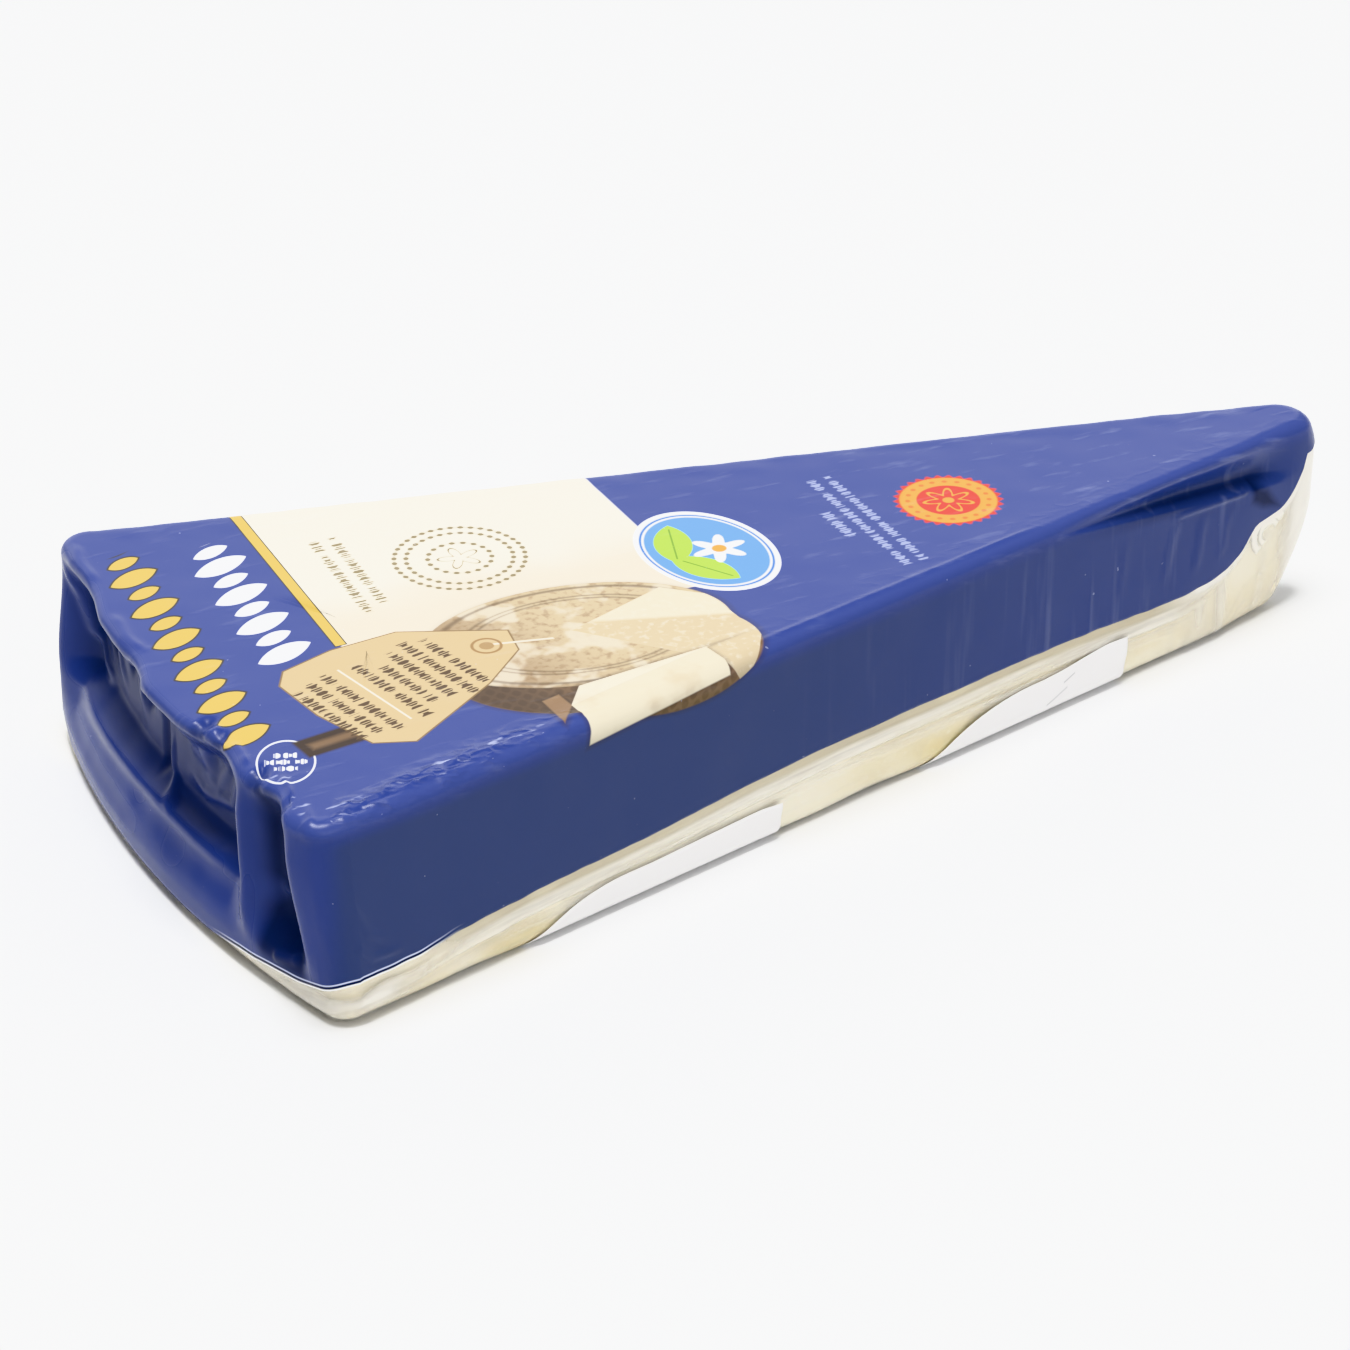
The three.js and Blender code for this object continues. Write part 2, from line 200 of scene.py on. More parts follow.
@dataclass(frozen=True)
class RindEnd:
    """How the film is drawn in at the rind end, in places across the wedge and heights.

    Attributes:
        hollow: where the hollow starts and ends across, and how soft its ends are.
        skirt: the hollow's depth above the skirt, and the heights between which it is reached.
        drawn: how much deeper it goes above that, and between which heights.
        closing: the height from which the hollow comes out again to the rim.
        furrow: where the furrow by the upright pleat starts and ends, and its ends' softness.
        furrow_rise: the furrow's depth, its foot and over what height it is reached.
        ridges: place and half width of each ridge beside the furrow.
        ridge_rise: how far the ridges stand out, their foot and over what height.
        bites: depth, place and half width of each notch in the rim.
        bite_height: how far down from the top the notches reach.
        far_rim: how far the rim draws in towards the back, and from where to where.
        far_foot: the height from which it does so.
        lean: how far the near corner stands out, and from where to where.
        lean_foot: the height from which it does so.
        rim_drop: how far below the top the far rim and the lean are complete.
    """

    hollow: tuple = (-26, 42, 7)
    skirt: tuple = (2.4, 4, 10.6)
    drawn: tuple = (3.4, 10.1, 14)
    closing: float = 22
    furrow: tuple = (-39.5, -24.5, 5.5)
    furrow_rise: tuple = (2.8, 5, 5.9)
    ridges: tuple = ((-25.5, 3.2), (-38.8, 2.6))
    ridge_rise: tuple = (0.55, 4, 6.6)
    bites: tuple = ((1.7, -33, 5.5), (1.4, -17.5, 8.5), (0.9, 6, 7), (1.0, 28, 9))
    bite_height: float = 9
    far_rim: tuple = (1.4, -2, 14)
    far_foot: float = 12
    lean: tuple = (2.4, -37, -27)
    lean_foot: float = 4
    rim_drop: float = 3

    def relief(self, y: Array, z: Array, top: float, top_radius: float) -> Array:
        """How far the wall stands in from the rind's arc.

        Args:
            y: place across the wedge.
            z: height.
            top: the wedge's height.
            top_radius: the radius of its upper edge.

        Returns:
            The distance at each point.
        """
        deep = sum(depth * smooth(z, *span) for depth, *span in (self.skirt, self.drawn))
        hollow = window(y, *self.hollow) * deep * (1 - smooth(z, self.closing, top))
        depth, foot, soft = self.furrow_rise
        furrow = window(y, *self.furrow) * depth * window(z, foot, top, soft)
        height, foot, soft = self.ridge_rise
        ridges = sum(bump(y, *ridge) for ridge in self.ridges)
        standing = height * ridges * window(z, foot, top, soft)
        bites = sum(depth * bump(y, *place) for depth, *place in self.bites)
        rim = bites * smooth(z, top - self.bite_height, top - top_radius)
        depth, *span = self.far_rim
        rim = rim + depth * smooth(y, *span) * smooth(z, self.far_foot, top - self.rim_drop)
        reach, *span = self.lean
        lean = reach * (1 - smooth(y, *span)) * smooth(z, self.lean_foot, top - self.rim_drop)
        return hollow + furrow + rim - standing - lean


@dataclass
class WedgeForm:
    """The pack's outer form, the same as the frame's, with its roundings and folded-in places.

    Attributes:
        length: from the rind to the tip.
        height: of the pack as it lies.
        half_angle: between the wedge's axis and a cut face.
        tip_radius: of the tip, seen from above.
        rind_radius: of the rind's arc.
        rind_skew: how far the arc's centre lies behind the axis.
        corner_radius: of the corners between the rind and the cut faces.
        top_radius: of the upper edge.
        foot_radius: of the lower edge.
        axis_y: where the wedge's axis lies in the part's frame.
        axis_x: where the wedge's middle lies in it.
        front_edge: place along and height of the printed film's lower edge on the front.
        back_edge: the same on the back.
        rind_edge: place across and height of that edge at the rind end.
        tip_edge: its height in the tip's middle.
        spine: ends of the line on which the flat faces close.
        spine_share: how much of the outline's width that line keeps.
        rind_end: how the film is drawn in at the rind end.
        rind_reach: how far across that still holds.
        rind_fade: places along between which it fades out on the cut faces.
        groove_start: where the groove under the front's upper edge starts.
        groove_run: the length over which its crease comes down.
        groove_drop: how far below the top its crease starts, and how far it comes down.
        groove_depth: its depth.
        groove_end: places along between which it fades out.
        tip_upper: how far the tip draws back at its upper edge, and over what height.
        tip_lower: the same at its lower edge.
        tip_reach: the length at the tip that draws back.
    """

    length: float = 179.0
    height: float = 29.9
    half_angle: float = math.radians(13.37)
    tip_radius: float = 4.2
    rind_radius: float = 168.0
    rind_skew: float = 8.0
    corner_radius: float = 4.0
    top_radius: float = 1.8
    foot_radius: float = 2.6
    axis_y: float = -0.447
    axis_x: float = 0.023
    front_edge: tuple = (
        (-82, 5.9), (-79, 6.4), (-69.5, 6.6), (-64, 7.6), (-59.5, 8.1), (-52, 8.7),
        (-30, 9.5), (-15, 10.6), (0, 11.1), (40, 11), (62, 10), (68, 10.4),
        (71.5, 11.5), (74.7, 13.4), (76, 16.4), (81.8, 17.3), (84.4, 20), (86.6, 24.6),
    )
    back_edge: tuple = (
        (-84, 5.5), (-60, 8.6), (-15, 9.4), (30, 8.8), (66, 9.6), (78, 15), (86.2, 25),
    )
    rind_edge: tuple = (
        (-43.7, 6.6), (-42.9, 6.2), (-41.6, 5.4), (-35.4, 4), (-25, 2.8), (-14, 1.4),
        (-6, 0.8), (32, 0.8), (43.5, 5.5),
    )
    tip_edge: float = 26.6
    spine: tuple = (-60.0, 67.0)
    spine_share: float = 0.12
    rind_end: RindEnd = RindEnd()
    rind_reach: float = 43.4
    rind_fade: tuple = (-85, -70)
    groove_start: float = 34.0
    groove_run: float = 48.0
    groove_drop: tuple = (1.6, 7.0)
    groove_depth: float = 1.7
    groove_end: tuple = (76, 85)
    tip_upper: tuple = (2.0, 7.0)
    tip_lower: tuple = (6.3, 17.0)
    tip_reach: float = 22.0

    @property
    def tip_x(self) -> float:
        """Where the tip ends."""
        return self.length / 2

    @property
    def apex_x(self) -> float:
        """Where the two cut faces would meet."""
        return self.tip_x + self.tip_radius * (1 / math.sin(self.half_angle) - 1)

    @property
    def rolled(self) -> float:
        """Length of the section from the floor up the wall and over the top edge."""
        return self.height - self.top_radius + self.top_radius * math.pi / 2

    def corner_centre(self, side: int) -> Array:
        """Centre of the round corner between the rind's arc and a cut face.

        Args:
            side: -1 for the front corner, 1 for the back one.

        Returns:
            Its place, seen from above.
        """
        start = np.array([self.apex_x - self.corner_radius / math.sin(self.half_angle), 0.0])
        along = np.array([-math.cos(self.half_angle), side * math.sin(self.half_angle)])
        offset = start - self.rind_centre
        reach = self.rind_radius - self.corner_radius
        b = float(offset @ along)
        return start + along * (-b + math.sqrt(b * b - float(offset @ offset) + reach * reach))

    @property
    def rind_centre(self) -> Array:
        """Centre of the rind's arc."""
        return np.array([self.rind_radius - self.length / 2, self.rind_skew])

    def outline(self, rind: int, corner: int, front: int, back: int, tip: int) -> Outline:
        """Walks round the wedge.

        Args:
            rind: steps along the rind's arc.
            corner: steps round each rind corner.
            front: steps along the front cut face.
            back: steps along the back cut face.
            tip: steps round the tip.

        Returns:
            The outline's points.
        """
        turn = math.pi / 2 - self.half_angle
        near, far = self.corner_centre(-1), self.corner_centre(1)
        far_turn = math.atan2(*(far - self.rind_centre)[::-1]) % (2 * math.pi)
        near_turn = math.atan2(*(near - self.rind_centre)[::-1]) % (2 * math.pi)
        tip_centre = np.array([self.tip_x - self.tip_radius, 0.0])

        def arc(centre: Array, radius: float, span: tuple, steps: int, zone: Zone) -> Array:
            """Points of an arc, its last one left out.

            Args:
                centre: the arc's centre.
                radius: its radius.
                span: its first and last angle.
                steps: how many points it has.
                zone: the zone that it lies on.

            Returns:
                Rows of place, normal and zone.
            """
            angle = np.linspace(*span, steps + 1)[:-1]
            normal = np.stack([np.cos(angle), np.sin(angle)], -1)
            return np.column_stack([centre + normal * radius, normal, np.full(steps, zone.value)])

        def face(start: Array, end: Array, side: int, steps: int, zone: Zone) -> Array:
            """Points of a cut face, its last one left out.

            Args:
                start: where it starts.
                end: where it ends.
                side: -1 for the front face, 1 for the back one.
                steps: how many points it has.
                zone: the zone that it lies on.

            Returns:
                Rows of place, normal and zone.
            """
            share = np.linspace(0, 1, steps + 1)[:-1, None] ** (1.3 if zone is Zone.FRONT else 1)
            normal = np.array([math.sin(self.half_angle), side * math.cos(self.half_angle)])
            points = start + (end - start) * share
            zones = np.full(steps, zone.value)
            return np.column_stack([points, np.tile(normal, (steps, 1)), zones])

        def beside(centre: Array, radius: float, side: int) -> Array:
            """The point of a cut face beside a round corner's centre."""
            normal = np.array([math.sin(self.half_angle), side * math.cos(self.half_angle)])
            return centre + normal * radius

        back_ends = beside(tip_centre, self.tip_radius, 1), beside(far, self.corner_radius, 1)
        front_ends = beside(near, self.corner_radius, -1), beside(tip_centre, self.tip_radius, -1)
        walk = np.concatenate([
            arc(tip_centre, self.tip_radius, (-turn, turn), tip, Zone.TIP),
            face(*back_ends, 1, back, Zone.BACK),
            arc(far, self.corner_radius, (turn, far_turn), corner, Zone.RIND),
            arc(self.rind_centre, self.rind_radius, (far_turn, near_turn), rind, Zone.RIND),
            arc(near, self.corner_radius, (near_turn, 2 * math.pi - turn), corner, Zone.RIND),
            face(*front_ends, -1, front, Zone.FRONT),
        ])
        return Outline(*walk.T)

    def drawn_in(self, line: Outline, z: Array) -> Array:
        """The rind end's relief all round the wedge, faded out along the two cut faces.

        Args:
            line: the outline.
            z: height of each point.

        Returns:
            The distance at each point.
        """
        rind = line.on(Zone.RIND)
        y = np.where(rind, line.y, np.where(line.y < 0, -self.rind_reach, self.rind_reach))
        relief = self.rind_end.relief(y, z, self.height, self.top_radius)
        return relief * np.where(rind, 1, 1 - smooth(line.x, *self.rind_fade))

    def groove_relief(self, x: Array, z: Array) -> Array:
        """How far the front wall stands in under its upper edge near the tip.

        Args:
            x: place along the wedge.
            z: height.

        Returns:
            The distance at each point.
        """
        along = np.clip((x - self.groove_start) / self.groove_run, 0, 1)
        crease = self.height - (self.groove_drop[0] + self.groove_drop[1] * along)
        across = np.clip((z - crease) / (self.height - crease), 0, 1)
        faded = smooth(along, 0, 0.6) * (1 - smooth(x, *self.groove_end))
        return self.groove_depth * faded * smooth(across, 0, 0.25) * (1 - smooth(across, 0.3, 1))

    def tip_rounding(self, z: Array) -> Array:
        """How far the tip's end draws back towards its upper and lower edges.

        Args:
            z: height of each point.

        Returns:
            The distance at each point.
        """
        (upper, over), (lower, under) = self.tip_upper, self.tip_lower
        upper = upper * np.clip(1 - (self.height - z) / over, 0, 1) ** 2
        return upper + lower * np.clip(1 - z / under, 0, 1) ** 1.5

    def edge_height(self, line: Outline) -> Array:
        """Height of the printed film's lower edge.

        Args:
            line: the outline.

        Returns:
            The height at each of its points.
        """
        front = run_through(self.front_edge, line.x)
        back = run_through(self.back_edge, line.x)
        rind = run_through(self.rind_edge, line.y)
        side = np.where(line.y < 0, self.front_edge[-1][1], self.back_edge[-1][1])
        share = np.clip(np.abs(line.y) / self.tip_radius, 0, 1)
        tip = self.tip_edge + (side - self.tip_edge) * share
        zones = [line.on(zone) for zone in (Zone.FRONT, Zone.BACK, Zone.RIND)]
        return np.select(zones, [front, back, rind], tip)

    def wall(self, line: Outline, z: Array, depth: Array | float = 0.0) -> Array:
        """Points of the wall, with its round top and foot edges.

        Args:
            line: the outline.
            z: height of each point, with one column for each point of the outline.
            depth: how far the surface is drawn in from the outer form.

        Returns:
            The points, in the wedge's frame, rows by columns by three.
        """
        z = np.asarray(z, float)
        over = np.clip((z - (self.height - self.top_radius)) / self.top_radius, 0, 1)
        under = np.clip((self.foot_radius - z) / self.foot_radius, 0, 1)
        inset = self.top_radius * (1 - np.sqrt(1 - over**2))
        inset = inset + self.foot_radius * (1 - np.sqrt(1 - under**2))
        relief = self.drawn_in(line, z)
        groove = np.where(line.on(Zone.FRONT), self.groove_relief(line.x, z), 0)
        back = self.tip_rounding(z) * smooth(line.x, self.tip_x - self.tip_reach, self.tip_x)
        inward = inset + groove + depth
        rise = np.clip(z, depth, self.height - np.asarray(depth))
        along = line.x - line.nx * inward + relief - back
        return np.stack([along, line.y - line.ny * inward, rise], -1)

    def level(self, edge: Array, line: Outline, share: Array) -> Array:
        """Rows of a flat face; a row lies by its share of the way from the edge to the spine."""
        centre = np.stack([np.clip(line.x, *self.spine), line.y * self.spine_share, edge[:, 2]], -1)
        return edge + (centre - edge) * np.asarray(share)[:, None, None]

    def placed(self, points: Array) -> Array:
        """Points of the wedge's frame in the part's frame."""
        return points + np.array([self.axis_x, self.axis_y, 0.0])


FORM = WedgeForm()


# ---------------------------------------------------------------- meshes


def normals_of(points: Array) -> Array:
    """Unit normals of a table of points, from its neighbours.

    Args:
        points: rows by columns by three, closed round its columns.

    Returns:
        The outward normals, the same shape.
    """
    down = np.gradient(points, axis=0)
    ahead = np.roll(points[:, :-1], -1, axis=1) - np.roll(points[:, :-1], 1, axis=1)
    ahead = np.concatenate([ahead, ahead[:, :1]], axis=1)
    normal = np.cross(down, ahead)
    return normal / np.maximum(np.linalg.norm(normal, axis=2, keepdims=True), 1e-9)


def deselect() -> None:
    """Leaves object mode with nothing selected."""
    if bpy.context.object and bpy.context.object.mode != "OBJECT":
        bpy.ops.object.mode_set(mode="OBJECT")
    bpy.ops.object.select_all(action="DESELECT")


def edit_vertices(piece: bpy.types.Object, chosen: Array) -> None:
    """Enters edit mode with only the chosen vertices selected.

    Args:
        piece: the active object.
        chosen: 1 or True for each vertex that is selected.
    """
    mesh = piece.data
    bpy.ops.object.mode_set(mode="EDIT")
    bpy.ops.mesh.select_mode(type="VERT")
    bpy.ops.mesh.select_all(action="DESELECT")
    bpy.ops.object.mode_set(mode="OBJECT")
    mesh.vertices.foreach_set("select", np.asarray(chosen, bool))
    bpy.ops.object.mode_set(mode="EDIT")


@dataclass
class Sheet:
    """A grid primitive that is draped over a table of points.

    Attributes:
        name: the piece's name.
        points: its points in the part's frame, rows by columns by three.
        caps: the rows that are closed with a flat face.
        marks: attributes that go with the points, each rows by columns by two or three.
        wall: thickness that the sheet gets behind its surface, 0 for a closed body.
    """

    name: str
    points: Array
    caps: tuple[int, ...] = ()
    marks: dict[str, Array] = field(default_factory=dict)
    wall: float = 0.0

    def build(self) -> bpy.types.Object:
        """Adds the grid, drapes it, closes it and gives it its thickness.

        Returns:
            The finished piece.
        """
        rows, columns = self.points.shape[:2]
        deselect()
        steps = {"x_subdivisions": columns - 1, "y_subdivisions": rows - 1}
        bpy.ops.mesh.primitive_grid_add(size=2, **steps)
        piece = bpy.context.object
        piece.name = piece.data.name = self.name
        row = self._drape(piece.data)
        for cap in self.caps:
            self._close(piece, row == cap % rows)
        edit_vertices(piece, np.ones(len(piece.data.vertices)))
        bpy.ops.mesh.remove_doubles(threshold=WELD)
        bpy.ops.object.mode_set(mode="OBJECT")
        self._face_out(piece)
        if self.wall:
            self._thicken(piece)
        bpy.ops.object.shade_smooth()
        return piece

    def _drape(self, mesh: bpy.types.Mesh) -> Array:
        """Moves the grid's vertices to the table's points, with their marks.

        Args:
            mesh: the grid's mesh.

        Returns:
            The table's row of each vertex.
        """
        rows, columns = self.points.shape[:2]
        place = np.empty(len(mesh.vertices) * 3)
        mesh.vertices.foreach_get("co", place)
        grid = (place.reshape(-1, 3)[:, :2] + 1) / 2
        column = np.rint(grid[:, 0] * (columns - 1)).astype(int)
        row = np.rint(grid[:, 1] * (rows - 1)).astype(int)
        mesh.vertices.foreach_set("co", (self.points[row, column] * MM).ravel())
        for name, values in self.marks.items():
            mark = mesh.attributes.new(name, "FLOAT_VECTOR", "POINT")
            flat = np.zeros((len(row), 3))
            flat[:, : values.shape[-1]] = values[row, column]
            mark.data.foreach_set("vector", flat.ravel())
        return row

    def _thicken(self, piece: bpy.types.Object) -> None:
        """Gives the sheet its wall behind its surface.

        Args:
            piece: the sheet's object, active.
        """
        thickness = piece.modifiers.new("thickness", "SOLIDIFY")
        thickness.thickness = self.wall * MM
        thickness.offset = -1
        thickness.use_quality_normals = True
        bpy.ops.object.modifier_apply(modifier=thickness.name)

    def _close(self, piece: bpy.types.Object, loop: Array) -> None:
        """Closes a row of the grid with one flat face.

        Args:
            piece: the sheet's object, active.
            loop: tells which vertices are in the row.
        """
        edit_vertices(piece, loop)
        bpy.ops.mesh.remove_doubles(threshold=WELD)
        bpy.ops.mesh.edge_face_add()
        bpy.ops.object.mode_set(mode="OBJECT")

    def _face_out(self, piece: bpy.types.Object) -> None:
        """Turns the faces outwards, away from the middle of the pack.

        Args:
            piece: the sheet's object, active.
        """
        mesh = piece.data
        middle = Vector((0, 0, FORM.height / 2 * MM))
        outward = sum(face.area * face.normal.dot(face.center - middle) for face in mesh.polygons)
        if outward < 0:
            edit_vertices(piece, np.ones(len(mesh.vertices)))
            bpy.ops.mesh.flip_normals()
            bpy.ops.object.mode_set(mode="OBJECT")


def dress(piece: bpy.types.Object, material: bpy.types.Material, slot: str, *nodes: str) -> None:
    """Gives a finished piece its material and its place in the frame.

    Args:
        piece: the finished piece.
        material: its material.
        slot: a material slot's name; not used.
        nodes: the frame's nodes that it stands for.
    """
    piece.data.materials.clear()
    piece.data.materials.append(material)
    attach(piece, "root")
    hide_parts(*nodes)
    LOG.info("%s: %d vertices", piece.name, len(piece.data.vertices))


# ---------------------------------------------------------------- shader maths


def operator(operation: str, turned: bool = False) -> Callable[["Field", Any], "Field"]:
    """Makes an operator on a field and another term.

    Args:
        operation: the Math node's operation.
        turned: whether the other term comes first.

    Returns:
        The operator.
    """

    def apply(this: "Field", other: Any) -> "Field":
        """Adds the Math node."""
        return this.shader.math(operation, *((other, this) if turned else (this, other)))

    return apply


def function(operation: str) -> Callable[["Field"], "Field"]:
    """Makes a function of one field from a Math node's operation."""

    def apply(this: "Field") -> "Field":
        """Adds the Math node."""
        return this.shader.math(operation, this)

    return apply


class Field:
    """A number that varies over a surface: a shader socket that Python's operators work on."""

    __add__ = __radd__ = operator("ADD")
    __sub__, __rsub__ = operator("SUBTRACT"), operator("SUBTRACT", turned=True)
    __mul__ = __rmul__ = operator("MULTIPLY")
    __truediv__, __rtruediv__ = operator("DIVIDE"), operator("DIVIDE", turned=True)
    __pow__, least, most = operator("POWER"), operator("MINIMUM"), operator("MAXIMUM")
    __abs__, part = function("ABSOLUTE"), function("FRACT")
    sine, cosine = function("SINE"), function("COSINE")

    def __init__(self, shader: "Shader", socket: bpy.types.NodeSocket) -> None:
        """Wraps a socket of a shader."""
        self.shader = shader
        self.socket = socket

    def __neg__(self) -> "Field":
        """This with its sign turned."""
        return self * -1.0

    def filled(self, soft: float = 0.08) -> "Field":
        """1 where this distance is below 0 and 0 above, over a soft edge."""
        return self.shader.math("MULTIPLY_ADD", self, -1.0 / soft, 0.5, clamp=True)

    def rising(self, start: float, end: float) -> "Field":
        """Rises smoothly from 0 at start to 1 at end.

        Args:
            start: the value up to which it is 0.
            end: the value from which it is 1, greater or less than start.

        Returns:
            The rise.
        """
        values = {"Value": self, "From Min": start, "From Max": end}
        settings = {"interpolation_type": "SMOOTHSTEP"}
        return Field(self.shader, self.shader.node("MapRange", settings, values))


class Shader:
    """A material's node tree, built by expressions."""

    def __init__(self, name: str) -> None:
        """Makes an empty material with its output.

        Args:
            name: the material's name.
        """
        self.material = bpy.data.materials.new(name)
        self.material.use_nodes = True
        self.tree = self.material.node_tree
        self.tree.nodes.clear()
        self.output = self.tree.nodes.new("ShaderNodeOutputMaterial")

    def node(
        self, kind: str, settings: dict | None = None, values: dict | None = None, out: Any = 0
    ) -> Any:
        """Adds any node.

        Args:
            kind: the node's type, without its prefix.
            settings: properties that are set first.
            values: sockets, by name or number, with a value or a link for each.
            out: name or number of the output that is wanted.

        Returns:
            That output socket.
        """
        node = self.tree.nodes.new("ShaderNode" + kind)
        for key, value in (settings or {}).items():
            setattr(node, key, value)
        for key, value in (values or {}).items():
            self.feed(node.inputs[key], value)
        return node.outputs[out]

    def feed(self, socket: bpy.types.NodeSocket, value: Any) -> None:
        """Links a socket to a field or an output, or sets its value."""
        if isinstance(value, Field):
            value = value.socket
        if isinstance(value, bpy.types.NodeSocket):
            self.tree.links.new(value, socket)
        elif hasattr(socket, "default_value"):
            size = len(socket.default_value) if hasattr(socket.default_value, "__len__") else 0
            socket.default_value = (*value, 1.0)[:size] if size else value

    def math(self, operation: str, *terms: Any, clamp: bool = False) -> Field:
        """Adds a Math node on terms in order; clamp keeps its result between 0 and 1."""
        settings = {"operation": operation, "use_clamp": clamp}
        return Field(self, self.node("Math", settings, dict(enumerate(terms))))

    def parts(self, vector: bpy.types.NodeSocket) -> tuple[Field, Field, Field]:
        """Takes a vector apart.

        Args:
            vector: the vector's socket.

        Returns:
            Its three parts.
        """
        node = self.tree.nodes.new("ShaderNodeSeparateXYZ")
        self.tree.links.new(vector, node.inputs[0])
        return tuple(Field(self, part) for part in node.outputs)

    def place(self) -> bpy.types.NodeSocket:
        """The piece's own coordinates, in metres."""
        return self.node("TexCoord", out="Object")

    def place_mm(self) -> tuple[Field, Field, Field]:
        """The three parts of the piece's own coordinates, in millimetres."""
        return tuple(part * (1 / MM) for part in self.parts(self.place()))

    def flat(self, name: str) -> bpy.types.NodeSocket:
        """An attribute's first two parts, from millimetres to metres, as a place for noise."""
        mark = self.node("Attribute", {"attribute_name": name}, out="Vector")
        return self.node("VectorMath", {"operation": "MULTIPLY"}, {0: mark, 1: (MM, MM, 0)})

    def mark(self, name: str) -> tuple[Field, Field, Field]:
        """The three parts of an attribute that goes with the surface."""
        return self.parts(self.node("Attribute", {"attribute_name": name}, out="Vector"))

    def inside(self, a: Field, b: Field, corners: Sequence[tuple[float, float]]) -> Field:
        """The distance outside a convex outline.

        Args:
            a: first coordinate.
            b: second coordinate.
            corners: the outline's corners, clockwise.

        Returns:
            The distance, below 0 inside.
        """
        distance = None
        for (a0, b0), (a1, b1) in zip(corners, [*corners[1:], corners[0]]):
            run = math.hypot(a1 - a0, b1 - b0)
            na, nb = -(b1 - b0) / run, (a1 - a0) / run
            side = a * na + (b * nb - (a0 * na + b0 * nb))
            distance = side if distance is None else distance.most(side)
        return distance

    def noise(
        self, vector: Any, per_mm: float, stretch: tuple = (1, 1, 1), detail: float = 2.0
    ) -> Field:
        """Soft noise between 0 and 1.

        Args:
            vector: coordinates, in metres.
            per_mm: how many blots there are in a millimetre.
            stretch: factors on the three axes.
            detail: how many finer layers it has.

        Returns:
            The noise.
        """
        scaled = self.node("VectorMath", {"operation": "MULTIPLY"}, {0: vector, 1: stretch})
        values = {"Vector": scaled, "Scale": per_mm / MM, "Detail": detail}
        return Field(self, self.node("TexNoise", None, values, "Fac"))

    def paint(self, under: Any, mask: Any, colour: Any) -> bpy.types.NodeSocket:
        """Lays a colour over another where a mask is 1."""
        settings = {"data_type": "RGBA"}
        return self.node("Mix", settings, {0: mask, 6: under, 7: colour}, 2)

    def bump(self, height: Field, strength: float, distance: float) -> bpy.types.NodeSocket:
        """Turns a height, in millimetres times distance, into a normal."""
        values = {"Strength": strength, "Distance": distance * MM, "Height": height}
        return self.node("Bump", None, values)

    def principled(self, **values: Any) -> bpy.types.NodeSocket:
        """Adds the main shader; underscores in a name stand for spaces."""
        sockets = {key.replace("_", " "): value for key, value in values.items()}
        return self.node("BsdfPrincipled", None, sockets)

    def finish(self, surface: bpy.types.NodeSocket) -> bpy.types.Material:
        """Links the surface and hands over the material."""
        self.tree.links.new(surface, self.output.inputs["Surface"])
        return self.material


def srgb(red: int, green: int, blue: int) -> tuple[float, float, float]:
    """A colour as seen on a screen, turned into the shader's linear light."""
    shown = (channel / 255 for channel in (red, green, blue))
    return tuple(c / 12.92 if c <= 0.04045 else ((c + 0.055) / 1.055) ** 2.4 for c in shown)


# ---------------------------------------------------------------- the printed design


@dataclass(frozen=True)
class Inks:
    """The print's colours."""

    blue: tuple = (0.036, 0.055, 0.206)
    cream: tuple = srgb(246, 241, 228)
    white: tuple = srgb(248, 248, 250)
    gold: tuple = srgb(200, 172, 84)
    dark: tuple = srgb(56, 52, 46)
    grey: tuple = srgb(128, 116, 88)
    tan: tuple = srgb(184, 164, 126)
    brown: tuple = srgb(80, 62, 44)
    shadow: tuple = srgb(54, 42, 34)
    sky: tuple = srgb(98, 152, 206)
    leaf: tuple = srgb(152, 178, 66)
    sun: tuple = srgb(226, 166, 48)
    red: tuple = srgb(200, 54, 36)
    rind: tuple = srgb(124, 98, 72)
    crust: tuple = srgb(176, 160, 130)
    paste: tuple = srgb(222, 213, 190)


